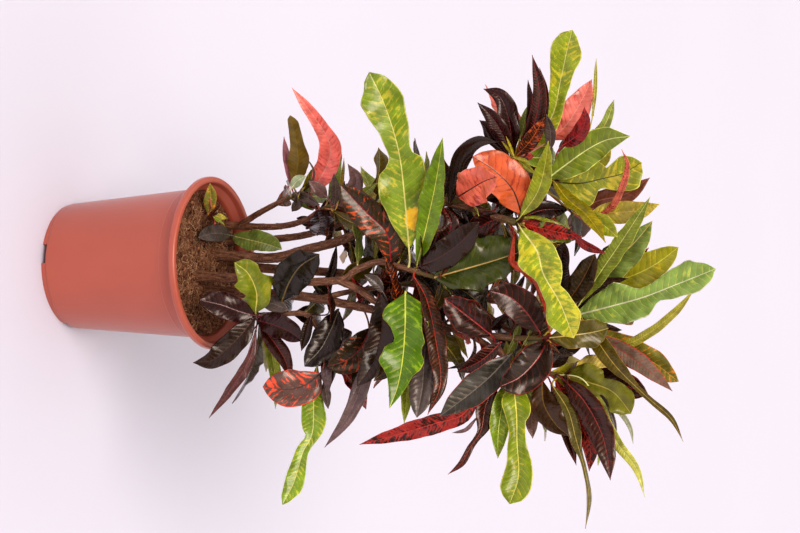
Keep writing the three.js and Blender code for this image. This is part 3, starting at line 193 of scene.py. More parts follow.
# Leaves seen from the front: form, width, turn in degrees, y at the stalk and the tip, [(x, z), ...], tone
LEAVES = {
    "leafy_stem_left": [
        ("waisted", 50, 0, -32, -80, [(-33, 613), (-6, 633), (22, 641), (56, 661), (97, 677)], "lime_mottle"),
        ("oval", 52, -10, -34, -85, [(-52, 614), (-80, 603), (-103, 580), (-120, 553)], "coral"),
        ("waisted", 54, 0, 6, 14, [(-86, 661), (-84, 688), (-89, 718), (-94, 742), (-106, 765)],
          "yellow_mottle"),
        ("spoon", 38, 10, -14, -40, [(-130, 628), (-165, 656), (-205, 667), (-240, 676), (-264, 683)],
          "lime_mottle"),
        ("lance", 42, -15, -2, -14, [(-92, 650), (-108, 674), (-124, 700), (-134, 724), (-137, 752)],
          "pale_ribbed"),
        ("oval", 46, 0, -50, -96, [(-73, 534), (-81, 549), (-90, 567), (-95, 584)], "coral_small"),
        ("lance", 24, 20, -34, -66, [(-48, 614), (-75, 635), (-105, 645), (-135, 650)], "lime"),
        ("lance", 34, 0, -6, 4, [(-137, 652), (-152, 672), (-178, 691), (-205, 706)], "salmon"),
        ("lance", 20, 10, -16, -26, [(-129, 668), (-142, 689), (-158, 697), (-173, 696)], "crimson"),
        ("lance", 28, 0, 8, 10, [(-46, 698), (-49, 725), (-50, 755), (-57, 786)], "gold"),
        ("lance", 24, 0, 16, 30, [(-56, 690), (-64, 715), (-70, 745), (-88, 775)], "purple_back"),
        ("strap", 24, 35, 4, -28, [(-86, 657), (-66, 672), (-45, 697), (-14, 719)], "golden"),
        ("lance", 24, -10, -4, -6, [(-47, 697), (-36, 715), (-20, 734)], "lime"),
        ("strap", 9, 10, 12, -26, [(-43, 706), (-56, 728), (-80, 742), (-104, 748), (-122, 741)],
          "coral_pink"),
        ("strap", 18, 120, -26, -66, [(-24, 604), (8, 600), (22, 622), (45, 636), (75, 644), (93, 648)],
          "scarlet"),
        ("lance", 30, 0, -16, -2, [(-24, 622), (-26, 640), (-34, 672)], "green"),
        ("strap", 8, 70, -24, -16, [(-46, 614), (-44, 636), (-39, 656)], "lime"),
        ("lance", 30, 0, -20, -4, [(-48, 592), (-39, 566), (-24, 540)], "maroon_veined"),
        ("strap", 13, 0, -8, -10, [(-131, 698), (-150, 720), (-180, 733)], "green"),
        ("lance", 26, 0, 38, 46, [(-94, 690), (-110, 711), (-134, 727)], "olive"),
        ("lance", 16, 0, -22, -52, [(-120, 622), (-150, 638), (-190, 645), (-222, 641)], "black_purple"),
        ("lance", 19, 0, -26, -60, [(-120, 611), (-150, 630), (-190, 640), (-237, 632)], "maroon_veined"),
        ("lance", 9, 10, -16, -28, [(-150, 623), (-180, 629), (-208, 626)], "black_purple"),
        ("lance", 13, 0, -12, -10, [(-138, 614), (-160, 621), (-180, 627)], "green"),
        ("lance", 20, -20, -30, -44, [(-120, 610), (-137, 628), (-163, 646)], "orange_veined"),
        ("lance", 26, 0, -28, -54, [(-124, 606), (-160, 601), (-188, 591), (-200, 569)], "black_purple"),
        ("lance", 20, 0, -32, -56, [(-124, 602), (-150, 590), (-170, 576), (-184, 561)], "black_purple"),
        ("lance", 19, 10, -24, -36, [(-122, 598), (-141, 582), (-155, 573), (-163, 563)], "black_purple"),
        ("strap", 9, 0, -10, -4, [(-140, 611), (-155, 613), (-170, 613)], "salmon"),
        ("lance", 22, 0, -30, -52, [(-64, 522), (-96, 530), (-124, 543), (-137, 562), (-136, 586)], "black"),
        ("lance", 16, 0, -16, -8, [(-62, 522), (-54, 530), (-46, 540)], "black"),
        ("strap", 5, 0, 0, 6, [(-162, 706), (-195, 710), (-229, 712)], "olive"),
        ("lance", 14, 10, -24, -34, [(-124, 652), (-146, 653), (-167, 648)], "slate"),
        ("lance", 5, 0, -30, -40, [(-118, 604), (-115, 614), (-111, 627)], "sprout"),
        ("lance", 8, 0, -20, -26, [(-118, 606), (-107, 620), (-96, 634)], "sprout"),
        ("strap", 3.4, 0, -34, -56, [(-119, 606), (-130, 602), (-142, 597)], "sprout"),
        ("strap", 3.4, 0, -30, -48, [(-119, 605), (-127, 599), (-137, 591)], "sprout"),
        ("lance", 5, 0, -22, -24, [(-120, 608), (-127, 616), (-134, 624)], "sprout"),
        ("lance", 13, 0, 10, 6, [(-90, 662), (-100, 671), (-113, 682)], "purple_back"),
        ("lance", 24, 0, -18, 10, [(-44, 612), (-54, 640), (-54, 674)], "black_red"),
        ("lance", 20, 10, -16, 6, [(-40, 612), (-31, 646), (-21, 690)], "red_blotched"),
        ("lance", 11, 0, -10, -20, [(-22, 680), (-9, 698), (-2, 718)], "crimson"),
    ],
    "leafy_stem_middle": [
        ("oval", 66, 0, -44, -14, [(23, 502), (14, 540), (4, 580), (-8, 622)], "dark_gloss"),
        ("waisted", 62, 0, -46, -112, [(-14, 468), (-70, 464), (-130, 457), (-185, 440), (-227, 420)],
          "lime_speckled"),
        ("lance", 30, 10, -40, -84, [(5, 479), (-40, 492), (-95, 506), (-144, 515)], "green_gloss"),
        ("lobed", 52, 0, -54, -104, [(42, 462), (80, 461), (120, 457), (155, 449), (180, 438)],
          "green_veined"),
        ("oval", 42, 0, -42, -90, [(6, 444), (-30, 440), (-52, 418), (-72, 398), (-92, 378)],
          "bronze_orange"),
        ("oval", 36, 0, -46, -84, [(82, 488), (115, 486), (155, 482), (191, 474)], "slate"),
        ("lance", 24, 15, -42, -78, [(22, 474), (50, 490), (100, 501), (150, 506), (188, 488)],
          "bronze_red_rib"),
        ("oval", 34, 0, -42, -84, [(42, 430), (85, 430), (125, 418), (153, 396)], "black"),
        ("oval", 36, 10, -40, -58, [(10, 480), (-2, 510), (-18, 535), (-42, 560)], "black"),
        ("lance", 24, 0, -38, -56, [(2, 490), (-20, 512), (-40, 524), (-61, 514)], "maroon_veined"),
        ("lance", 22, 0, -60, -84, [(104, 448), (130, 437), (147, 418)], "dark_olive"),
        ("lance", 16, 0, -48, -70, [(116, 470), (150, 463), (198, 457)], "lime"),
        ("lance", 14, 0, -44, -58, [(40, 433), (28, 424), (18, 408)], "slate"),
    ],
    "leafy_stem_right": [
        ("oval", 46, 0, -40, -82, [(100, 643), (120, 632), (141, 610), (154, 582)], "dark_red_edged"),
        ("oval", 40, 0, -42, -86, [(89, 634), (66, 618), (48, 598), (40, 571)], "purple_veined"),
        ("waisted", 44, 0, 0, -16, [(140, 664), (148, 692), (160, 724), (185, 746)], "olive_back"),
        ("lance", 33, -10, -14, -40, [(144, 662), (170, 688), (205, 708), (235, 716), (263, 719)], "maroon"),
        ("spoon", 36, 0, -44, -80, [(146, 599), (185, 603), (220, 603), (260, 604), (293, 592)],
          "lime_veined"),
        ("lance", 38, 0, -46, -86, [(116, 597), (142, 570), (165, 540), (190, 503)], "slate_green"),
        ("lance", 24, 10, -52, -84, [(158, 557), (187, 534), (198, 497), (211, 450), (224, 397)],
          "red_blotched"),
        ("tailed", 28, 0, -40, -70, [(146, 577), (178, 563), (206, 557), (226, 543), (244, 532),
          (259, 513)], "maroon"),
        ("lance", 28, 0, -4, -16, [(148, 654), (190, 678), (222, 694), (253, 693)], "red_blotched"),
        ("tailed", 21, 0, -24, -44, [(154, 650), (182, 668), (215, 677), (250, 687), (285, 692),
          (320, 687)], "olive_green"),
        ("lance", 26, 10, -40, -62, [(146, 594), (180, 584), (210, 579), (239, 578)], "lime_veined"),
        ("oval", 34, 0, 10, 16, [(142, 688), (150, 730), (162, 767)], "maroon_veined"),
        ("lance", 13, 0, -8, -18, [(150, 692), (172, 708), (196, 716), (220, 729), (250, 752), (282, 761)],
          "yellow"),
        ("lance", 34, 20, -30, -44, [(148, 636), (175, 638), (198, 652), (212, 669)], "dark_olive"),
        ("lance", 18, 0, -16, -20, [(160, 622), (188, 622), (215, 623)], "mauve"),
        ("oval", 42, 0, -42, -84, [(92, 572), (75, 550), (60, 530), (48, 513)], "maroon_veined"),
        ("lance", 21, 0, -14, -48, [(78, 425), (110, 418), (150, 402), (190, 382), (228, 350)], "mauve"),
        ("oval", 40, 0, -22, -54, [(84, 414), (108, 400), (122, 380), (129, 356)], "bronze_orange"),
        ("lance", 24, 0, -6, -20, [(92, 412), (135, 400), (171, 392)], "dark_bronze"),
        ("strap", 7, 0, 14, 20, [(158, 706), (178, 728), (200, 744), (220, 748)], "grey_green"),
        ("strap", 7, 0, 4, 8, [(152, 694), (172, 714), (192, 724), (214, 728)], "slate"),
        ("lance", 18, 0, -12, -22, [(152, 648), (205, 666), (246, 677)], "maroon"),
        ("strap", 5, 0, -52, -60, [(192, 551), (205, 538), (209, 520)], "mauve"),
        ("strap", 5, 0, -28, -46, [(95, 550), (111, 551), (126, 540), (133, 513)], "black"),
        ("lance", 15, 0, -18, -14, [(100, 592), (128, 594), (154, 590)], "olive"),
        ("lance", 20, 0, -16, 38, [(103, 640), (110, 662), (102, 690)], "black"),
        ("lance", 22, 0, -30, -44, [(101, 585), (122, 560), (136, 528)], "maroon_veined"),
    ],
    "leafy_stem_back": [
        ("waisted", 50, 0, 34, 16, [(70, 681), (60, 725), (50, 765), (36, 805), (19, 852)],
          "pale_ribbed_big"),
        ("tailed", 25, 0, 26, -8, [(74, 688), (100, 706), (132, 730), (165, 765), (190, 794), (217, 809)],
          "olive_green"),
        ("lance", 24, -20, 34, 4, [(57, 685), (25, 708), (-20, 742), (-66, 775)], "pale_ribbed"),
        ("oval", 40, 0, 60, 66, [(40, 698), (26, 748), (12, 780), (-7, 808)], "olive_veined"),
        ("lance", 42, 0, 52, 36, [(45, 700), (10, 728), (-14, 755), (-38, 777)], "green"),
        ("lance", 24, 0, 40, 30, [(92, 702), (118, 745), (138, 772), (159, 797)], "slate_red"),
        ("oval", 36, 0, 54, 60, [(92, 700), (112, 745), (126, 775), (148, 805)], "olive_orange"),
        ("strap", 12, 0, 48, 42, [(88, 700), (104, 738), (90, 773), (66, 804), (41, 827)], "olive"),
        ("strap", 9, 0, 66, 72, [(22, 734), (8, 752), (-7, 772)], "red_blotched"),
        ("lance", 12, 0, 30, 26, [(48, 690), (33, 715), (28, 746)], "black"),
        ("lance", 17, 0, 40, 44, [(62, 680), (50, 700), (35, 711)], "black"),
        ("lance", 16, 0, 54, 60, [(78, 685), (86, 712), (88, 737)], "black"),
        ("oval", 30, 0, 30, -8, [(58, 668), (28, 690), (-1, 706)], "dark_bronze"),
        ("oval", 28, 0, 24, -20, [(55, 662), (20, 660), (-16, 668)], "black"),
        ("lance", 12, 0, 60, 52, [(60, 520), (98, 532), (120, 542)], "olive"),
        ("strap", 8, 0, 66, 64, [(56, 505), (100, 520), (132, 533)], "mauve"),
    ],
    "leafy_stem_behind_left": [
        ("oval", 30, 0, 52, 30, [(-33, 229), (-28, 250), (-22, 275), (-15, 297)], "green"),
        ("oval", 36, 0, 46, 18, [(-32, 346), (-46, 350), (-62, 346)], "dark_maroon"),
        ("lance", 13, 0, 44, 30, [(-40, 344), (-48, 332), (-53, 318)], "black"),
        ("lance", 12, 0, 50, 36, [(-34, 396), (-22, 389), (-11, 382)], "black"),
        ("oval", 23, 0, 42, -30, [(-34, 226), (-37, 206), (-32, 181)], "slate"),
    ],
    "leafy_stem_low_left": [
        ("tailed", 30, 0, -8, -70, [(-86, 340), (-118, 362), (-145, 364), (-178, 343), (-213, 315)],
          "coral_armed"),
        ("spoon", 26, 180, -10, -54, [(-95, 315), (-122, 322), (-152, 319), (-179, 312)], "olive_brown"),
        ("lance", 11, 0, -2, -36, [(-92, 312), (-120, 308), (-153, 303)], "mauve_red"),
        ("lance", 14, 0, -22, -30, [(-90, 312), (-98, 320), (-104, 332)], "pale_green"),
        ("lance", 16, 0, -18, -34, [(-77, 360), (-88, 348), (-98, 335)], "mauve"),
        ("lance", 16, 0, -4, 4, [(-83, 318), (-76, 335), (-68, 350)], "slate"),
        ("lance", 13, 0, 4, 0, [(-82, 318), (-71, 320), (-61, 312)], "slate"),
        ("strap", 3, 0, -12, -40, [(-82, 335), (-108, 343), (-127, 333)], "slate"),
        ("lance", 22, 0, -20, -56, [(-66, 374), (-80, 392), (-98, 400), (-117, 389)], "mauve"),
        ("lance", 14, 0, -4, 4, [(-66, 376), (-78, 405), (-93, 429)], "green"),
        ("strap", 5, 0, -26, -50, [(-68, 374), (-92, 380), (-124, 384)], "olive_orange"),
        ("lance", 12, 0, -26, -48, [(-68, 370), (-86, 372), (-106, 370)], "slate"),
        ("lance", 12, 0, -10, -14, [(-62, 366), (-56, 386), (-52, 407)], "orange_brown"),
        ("lance", 16, 0, -14, -20, [(-60, 368), (-46, 392), (-38, 427)], "olive_green"),
    ],
    "leafy_stem_low_right": [
        ("oval", 40, 0, -26, -66, [(62, 259), (38, 261), (14, 250), (0, 231)], "lime_small"),
        ("oval", 46, 0, -18, -50, [(48, 296), (26, 306), (6, 322), (-8, 348)], "dark_green"),
        ("waisted", 30, 0, -34, -96, [(130, 342), (165, 337), (210, 334), (235, 320), (270, 308),
          (299, 291)], "lime_speckled"),
        ("oval", 48, 0, -46, -78, [(138, 346), (152, 325), (157, 300), (154, 267)], "red_green"),
        ("lance", 32, 0, -32, -62, [(68, 258), (92, 236), (112, 212), (122, 195), (124, 170)], "black"),
        ("oval", 34, 0, -34, -78, [(66, 258), (60, 235), (52, 210), (46, 180)], "black_purple"),
        ("oval", 32, 0, -22, -34, [(72, 262), (78, 285), (86, 305), (98, 322)], "black_purple"),
        ("lance", 22, 0, -14, -44, [(78, 266), (105, 288), (125, 300), (147, 304)], "maroon"),
        ("lance", 14, 10, -18, -40, [(84, 259), (120, 249), (155, 224), (193, 191)], "maroon_brown"),
        ("oval", 38, 0, -20, -58, [(62, 372), (85, 362), (108, 348), (129, 325)], "black_green"),
        ("lance", 20, 0, -14, -22, [(60, 304), (52, 284), (48, 261)], "slate"),
        ("lance", 12, 0, 16, 30, [(60, 360), (35, 358), (8, 366), (-20, 372)], "black"),
        ("lance", 14, 0, -24, -50, [(68, 335), (88, 328), (110, 321)], "black"),
        ("lance", 14, 0, -34, -50, [(118, 352), (140, 355), (160, 358)], "slate_purple"),
        ("lance", 12, 0, -40, -54, [(148, 351), (166, 354), (181, 356)], "slate"),
        ("lance", 16, 0, 8, 14, [(76, 266), (105, 278), (145, 285), (181, 284)], "lime"),
        ("lance", 13, 0, 18, 34, [(76, 264), (105, 274), (136, 272)], "grey_green"),
        ("lance", 8, 0, -26, -30, [(88, 252), (98, 244), (102, 231)], "black"),
    ],
    "low_shoot": [("lance", 17, 0, -3, -26, [(-63, 196), (-80, 199), (-99, 199)], "yellow_tipped")],
}

# Spirals at the sides and back: branch, count, length, width, form, first angle in degrees
SPIRALS = {
    "leafy_stem_left": [(3, 5, 125, 38, "paddle", 20), (1, 4, 115, 26, "lance", 60),
        (2, 3, 115, 36, "broad", 100), (0, 5, 130, 36, "paddle", 150)],
    "leafy_stem_middle": [(0, 4, 120, 42, "broad", 35), (1, 4, 125, 36, "paddle", 80)],
    "leafy_stem_right": [(1, 5, 130, 34, "paddle", 10), (0, 6, 130, 38, "broad", 70),
        (2, 2, 110, 30, "lance", 30), (3, 3, 115, 32, "lance", 120)],
    "leafy_stem_back": [(0, 8, 135, 40, "paddle", 40), (1, 7, 130, 38, "broad", 0),
        (2, 7, 130, 38, "paddle", 25)],
    "leafy_stem_behind_left": [(0, 9, 125, 40, "paddle", 75)],
    "leafy_stem_low_left": [(0, 4, 110, 30, "lance", 40), (1, 4, 110, 30, "paddle", 130)],
    "leafy_stem_low_right": [(0, 7, 115, 32, "lance", 50)],
    "low_shoot": [],
}

# Leaf tones: the colours of the field, its patches, the side veins, the midrib, the margin and the underside,
# then how much of the field is patched, how strong the side veins are, and how wide the margin is
TONES = {
    "lime_mottle": ("93a62a d2cc36 dbd65f e7e493 e1dc79 ceb954", 0.55, 0.55, 0.05),
    "lime_speckled": ("7f982a bcb83a cbc656 e0d888 d4d56e a4a353", 0.45, 0.5, 0.05),
    "lime": ("90981e b1ab28 c8b83e dcd174 cfc252 959335", 0.4, 0.4, 0.05),
    "lime_small": ("76831d 908d26 aa9934 cec368 bdad49 848133", 0.35, 0.4, 0.04),
    "lime_veined": ("788e1e a7a827 d6d240 e4e168 ddda56 afa63c", 0.3, 0.7, 0.06),
    "green": ("819244 adab4c e6c871 ebd687 e8d178 dbab75", 0.25, 0.4, 0.03),
    "green_gloss": ("6e8a14 95aa1d d9ca29 dad25b e2c93a bca72d", 0.2, 0.35, 0.02),
    "green_veined": ("52780a 84a414 b8bc38 d4d85c b4b438 8b8612", 0.38, 0.45, 0.03),
    "dark_green": ("151002 1e1702 311f04 77632f 47320f 331907", 0.2, 0.3, 0.02),
    "dark_gloss": ("434e17 565e20 817b31 deb873 847339 95753b", 0.15, 0.3, 0.02),
    "pale_ribbed": ("818d2b 9d9f32 edc54e eeea95 ede578 ddb056", 0.2, 0.5, 0.05),
    "pale_ribbed_big": ("8eaa50 bcc856 dfda80 e6e5bd e1deab dacb8f", 0.28, 0.85, 0.045),
    "pale_green": ("aaba8f c3cba3 e0dcc2 eee5bf efdfbc c3c4bd", 0.2, 0.4, 0.03),
    "sprout": ("b0ac22 cdbf30 d8c53e e2d571 e1ca52 bcb13e", 0.2, 0.3, 0.02),
    "yellow": ("bebd53 d4d775 dcdfa2 e7e8a8 e1e3a7 bec59d", 0.4, 0.4, 0.04),
    "yellow_tipped": ("919440 efa247 efaf57 efc568 efb455 dba264", 0.45, 0.4, 0.05),
    "yellow_mottle": ("8c952e c8b93a d6d554 434b1c ddde72 aba656", 0.55, 0.5, 0.05),
    "gold": ("b3a03a e0c850 dddb70 e1bb59 b88240 af9e63", 0.45, 0.6, 0.05),
    "golden": ("867d0a a49011 b7a41b d0b63d bb9821 8c851d", 0.4, 0.5, 0.05),
    "olive": ("a09e3d c5bc4b eae460 d8c963 dfc45c cbbe63", 0.25, 0.5, 0.03),
    "olive_green": ("5b5114 725c18 967029 c3a755 b58838 785b28", 0.25, 0.55, 0.045),
    "olive_back": ("727017 80781b 948922 b2a049 a29036 7b731b", 0.25, 0.45, 0.03),
    "olive_brown": ("685112 7a6216 937a20 a3883a 997125 75601e", 0.3, 0.45, 0.03),
    "olive_veined": ("a8a226 dcbe32 d7d244 e5db54 dfdb4e d5b144", 0.3, 0.7, 0.05),
    "olive_orange": ("7e782d e39235 e3a841 dfae4f e69443 9d8b46", 0.35, 0.8, 0.05),
    "dark_olive": ("392208 492a0a 603511 7d642d 6e451f 512d13", 0.25, 0.4, 0.03),
    "grey_green": ("bcb894 ccc8a0 e0d9b1 c9c8a2 d4d0a7 b9b59a", 0.2, 0.4, 0.03),
    "orange_veined": ("341a12 cc5a24 dc6a28 d86a32 b44c22 6a4432", 0.5, 0.9, 0.05),
    "orange_brown": ("8a4c22 a8602a b87034 c88444 b8643a 8a5a38", 0.35, 0.5, 0.04),
    "bronze_orange": ("32260f c04a1a a83c18 901d2b 702717 57351e", 0.4, 0.4, 0.04),
    "bronze_red_rib": ("38200c 74361a a03a1c cc3a28 a8381f 583319", 0.38, 0.75, 0.05),
    "dark_bronze": ("3a2e14 54401c 6a4a1e 8a5a2c 7c4a24 544424", 0.3, 0.4, 0.04),
    "coral": ("dc6438 b43a1e 8e3018 3c1710 e2885a bd6944", 0.35, 0.75, 0.03),
    "coral_small": ("ff8068 c83c30 9c2c24 5a1a16 f4a890 dc7060", 0.34, 0.6, 0.03),
    "coral_armed": ("ff7c6e e4564a b83c36 f09a8c f4a898 d87068", 0.35, 0.35, 0.04),
    "coral_pink": ("cf6c54 912328 a63b38 e3836c e5a388 be7358", 0.4, 0.3, 0.04),
    "salmon": ("f08072 d24a46 b84040 ee9a8a f2b0a0 d87c70", 0.35, 0.45, 0.04),
    "crimson": ("911c1f 2f0e10 611517 bc3442 a62f33 763b40", 0.45, 0.35, 0.04),
    "scarlet": ("e5421d 3c1308 e5652a d1341f e97a40 cf4b27", 0.4, 0.3, 0.05),
    "red_blotched": ("ac2e28 26100d be4c2e ca4a3e be4238 6d352a", 0.58, 0.25, 0.04),
    "red_green": ("654e49 ef593c 8f5146 422c29 ef5645 8f736a", 0.42, 0.2, 0.05),
    "maroon_veined": ("30130c 662216 98261e ac2e34 922c22 542f1c", 0.36, 0.85, 0.05),
    "maroon": ("38140a 5e2012 8a2c18 a0342a 8c2d17 563112", 0.3, 0.7, 0.04),
    "maroon_brown": ("562f34 723b3e 8b4846 944946 8d4140 6b4852", 0.25, 0.45, 0.04),
    "dark_maroon": ("370301 480502 650904 731918 681009 510d04", 0.25, 0.4, 0.04),
    "dark_red_edged": ("211107 481c12 66221a 962e28 922e20 3e2413", 0.3, 0.6, 0.06),
    "purple_veined": ("2a0f08 541e14 7a2620 902e30 6c221c 371b09", 0.34, 0.8, 0.05),
    "purple_back": ("7c4432 884c3c 94604c aa7060 804c44 6e4a42", 0.3, 0.7, 0.03),
    "mauve": ("745958 856763 967675 976c75 93656b 7d6763", 0.2, 0.5, 0.03),
    "mauve_red": ("9c676e b5767a d87276 c46063 c7656b a07880", 0.25, 0.6, 0.05),
    "slate": ("594b45 6b5a50 896c63 7f7069 7e6361 715c58", 0.2, 0.4, 0.02),
    "slate_green": ("3c3c36 4c4c44 685754 797067 c93c36 5e4c4b", 0.2, 0.4, 0.04),
    "slate_purple": ("614d4b 766159 906d67 81616b 845b5d 76625a", 0.2, 0.4, 0.02),
    "slate_red": ("86705f a8443a b04139 b03d37 d04433 9c8073", 0.35, 0.45, 0.1),
    "black": ("251207 341b0c 4c210d 482620 482217 452615", 0.2, 0.3, 0.02),
    "black_purple": ("2c0b0e 3a1214 551518 5e1d24 5f1a1f 481f21", 0.2, 0.4, 0.03),
    "black_green": ("170b08 21130b 2f1b13 453b29 372618 2d1813", 0.2, 0.3, 0.02),
    "black_red": ("1d0100 350300 670601 891810 720c05 350601", 0.3, 0.7, 0.04),
}
TONE_PARTS = ("field", "patch", "vein", "rib", "edge", "under")

# Tones of the leaves that no row names: young ones at the top are brighter. Those lower down darken: partly
# their own deeper colours, partly painted shade of the crown above them.
YOUNG_TONES = ("lime_mottle", "olive_veined", "gold", "green", "pale_ribbed", "lime_veined", "red_blotched",
               "salmon", "yellow_mottle", "olive_green")
SHADED_TONES = ("maroon_veined", "black_purple", "red_blotched", "maroon", "dark_green", "olive_green",
                "black", "orange_veined", "dark_red_edged", "green", "dark_olive")
YOUNG_SHARE_TOP = 0.6
YOUNG_SHARE_LOW = 0.12
TONE_SPREAD = 0.16

# The ripe spot on one leaf: its share of the length, its place across, and how far it reaches
SPOTTED_LEAF = ("leafy_stem_middle", "lime_speckled")
RIPE_SPOT = (0.16, 12, 16)
RIPE_COLOUR = "fac424"

# Small leaves that the solids leave out. Young ones crowd round each shoot's tip, the outer ones longer and
# lower. Dark ones stand along the shoot below it, at the sides and back, where it is shaded by the crown, and
# their dark tones add painted shade to the crown's inside.
# A pair of numbers is the least and what a random draw adds at most.
SMALL_DROOP = 0.2
SMALL_STATIONS = (0.12, 0.4, 0.7, 1)
YOUNG_COUNT = 7
YOUNG_REACH = 40
YOUNG_SMALLEST = 0.45
YOUNG_SIZES = (0.8, 0.4)
YOUNG_RISE = math.radians(72)
YOUNG_SINK = 0.6
YOUNG_BRIGHT = 0.35
YOUNG_SLIM = 0.3
SHADE_GAP = 11
SHADE_REACH = 58
SHADE_SIZES = (0.75, 0.5)
SHADE_RISES = (5, 40)
SHADE_FROM = 0.42
SHADE_FRONT = -0.4
SHADE_SLIM = 0.38
CROWN_Z = 450

# Spirals, as in the solids: the golden angle, what counts as behind the stem, and how leaves rise, droop and
# vary from the top down
GOLDEN_ANGLE = math.radians(137.5)
BEHIND = 0.05
SPIRAL_SHARE = 0.62
TOP_RISE = math.radians(44)
LOW_RISE = math.radians(2)
DROOP = 0.42
SIZE_SPREAD = 0.35
ANGLE_SPREAD = 0.5
FACE_LEAN = -0.6
SPIRAL_STATIONS = (0.08, 0.36, 0.68, 1)
SEED = 20241

# Steps that bend a leaf clear: millimetres at the tip, degrees about its midrib, radians round and up
TIP_SWINGS = (0, -14, 14, -28, 28, -42, 42, -58, 58, -75, 75, -95, 95)
BLADE_TURNS = (0, 18, -18)
ROUND_SWINGS = (0, 0.3, -0.3, 0.6, -0.6, 0.9, -0.9)
RISE_SWINGS = (0, 0.3, -0.3)

# Finding a leaf in its solid: how near a corner has to be, and the share of corners found
FOUND_WITHIN = 0.06
FOUND_SHARE = 0.3

# Fine blades: rows along, columns from the midrib to the margin, and how the rows crowd towards the tip
FINE_STEPS = 24
ROW_LENGTH = 3.4
FEWEST_ROWS = 13
LEAF_ROWS = 37
LEAF_COLUMNS = (0, 0.07, 0.2, 0.4, 0.62, 0.82, 0.94, 1)
TIP_CROWDING = 0.12
TIP_HALF = 0.25
BLADE = 0.35
RIB_WIDTH = 1.5
RIB_ABOVE = 0.25
RIB_BELOW = 1.0
RIB_FADE = 0.75

# How a blade differs from its coarse solid: it is slightly twisted, its halves lean up or down its length,
# its margin is scalloped and has a slow and a quick ripple, and each half is arched. A spread is the share
# that a random draw adds or takes at most, and a power says how close to the margin a bend sets in.
TWIST = math.radians(16)
LOBE_LEAN = 0.05
SCALLOP = 0.035
SCALLOP_LAG = 0.3
RIPPLE_LENGTH = 34
RIPPLE = 0.1
RIPPLE_SPREAD = 0.6
QUICK_RIPPLE = 0.5
QUICK_RATE = 2.3
QUICK_LAG = 3
ARCH = 0.09
ARCH_SPREAD = 0.8
END_FADE = 0.6
CUP_POWER = 1.2
WAVE_POWER = 1.6
EDGE_POWER = 8

# Side veins, as a share of the width and between limits, and how far apart leaves lie in their pattern
VEIN_SPACING = 0.2
VEIN_SPACING_LIMITS = (3.5, 9)
PATTERN_REACH = 60

# Leaf stalks: how they lift off the stem, bend, swell at its bark and run on under the midrib
STALK_SHARE = 0.1
STALK_ROWS = 9
STALK_SIDES = 8
STALK_LIFT = 0.35
STALK_PULL = 0.35
STALK_SINK = 6
STALK_SWELL = 0.7
STALK_SWELL_REACH = 4
STALK_RADII = (1.1, 0.95)
STALK_END = 0.5
STALK_THICKEST = 1.25
STALK_THINNEST = 0.7
STALK_PER_WIDTH = 70

# Stems: leaf scars wind round them, bark lumps roughen them and the foot flares. A bud ends them: how far
# out in radii, and how thick, its two rings are.
STEM_SIDES = 20
STEM_ROW = 2.2
FEWEST_STEM_ROWS = 12
ROOT_ROWS = 4
SCAR_SPACING = 8
SCAR_SPACINGS = (0.7, 0.6)
SCAR_FIRST = 4
SCAR_HEIGHT = 1.3
SCAR_SAG = 1.2
SCAR_WIDTH = 0.75
SCAR_RAISE = 0.55
BARK_LUMPS = 0.35
LUMPS_ROUND = 3
LUMP_LENGTH = 9
FOOT_FLARE = 0.18
FLARE_HEIGHT = 14
BUD = ((0.9, 0.62), (1.6, 0.16))

# Soft corners of the pot, and the faint ring under its lip
CORNER_STEPS = 4
CORNER_SHARE = 0.45
RING_Z = 176
RING_RAISE = 0.6

# Peat, bark and coir on top of the mix. The peat's fractal is how much its detail calms and how much finer
# it grows from one layer to the next, and the count of layers. Elsewhere three numbers are the least, what a
# draw adds at most, and how rare the large ones are.
PEAT_GAP = 0.5
PEAT_EDGE = BODY_TOP_RADIUS - WALL - PEAT_GAP
PEAT_MIDDLE = 0.004
PEAT_RINGS = 70
PEAT_SIDES = 200
PEAT_GRAIN = 11
PEAT_ROUGHNESS = 2.2
PEAT_FRACTAL = (0.9, 2.1, 4)
PEAT_SLICE = 3.0
CRUMBS = 900
CHIPS = 170
LUMP_SIZES = (0.7, 2.4, 2.5)
LUMP_ROUGHNESS = (0.7, 0.6)
LUMP_FLAT = 0.7
LUMP_SEAT = 0.3
LUMP_INSET = 4
CHIP_SHAPE = (2.2, 0.9, 0.6)
FIBRES = 2500
FIBRE_LENGTHS = (6, 26, 1.6)
FIBRE_LOFTS = (0.4, 2.4, 2)
FIBRE_RADII = (0.16, 0.2, 2)
FIBRE_STEPS = 8
FEWEST_FIBRE_STEPS = 4
FIBRE_SIDES = 3
FIBRE_SEAT = 0.25
FIBRE_INSET = 6
FIBRE_STOP = 2
FIBRE_BEND = 0.5
FIBRE_WANDER = 0.7
MIX_SEED = 31
PLANT_SEED = 100
DICE_STEP = 48271
DICE_PRIME = 2147483647

# Sizes of patterns in the materials, and the share of the pot's speck cells that hold a speck
STREAK_WIDTH = 1.818
STREAK_LENGTH = 14.29
LENTICEL_SPACING = 3.125
PEAT_GRAINS = 3.846
BARK_GRAINS = 2.381
COIR_BANDS = 3.333
SHEEN_CHANGE = 111.1
SPECK_SPACING = 18.18
SPECK_SHARE = 0.06
SKIN_GRAIN = 1.4286
BOARD_CLOUD = 666.7
BOARD_TOOTH = 3.333

# Floor and lights: turn and height in degrees, spread in degrees, power
FLOOR_HALF = 15
LIGHT_COLOUR = "fff8f0"
SOFTBOXES = {
    "key_softbox": (-104, 54, 30, 1.75),
    "left_softbox": (-178, 48, 90, 0.46),
    "right_softbox": (-2, 48, 90, 0.62),
    "front_softbox": (-92, 24, 40, 0.4),
    "top_softbox": (88, 66, 90, 0.95),
}
SOFTBOX_AWAY = 3
SKY_COLOUR = "fff6ee"
SKY_POWER = 0.2


# Lines and frames

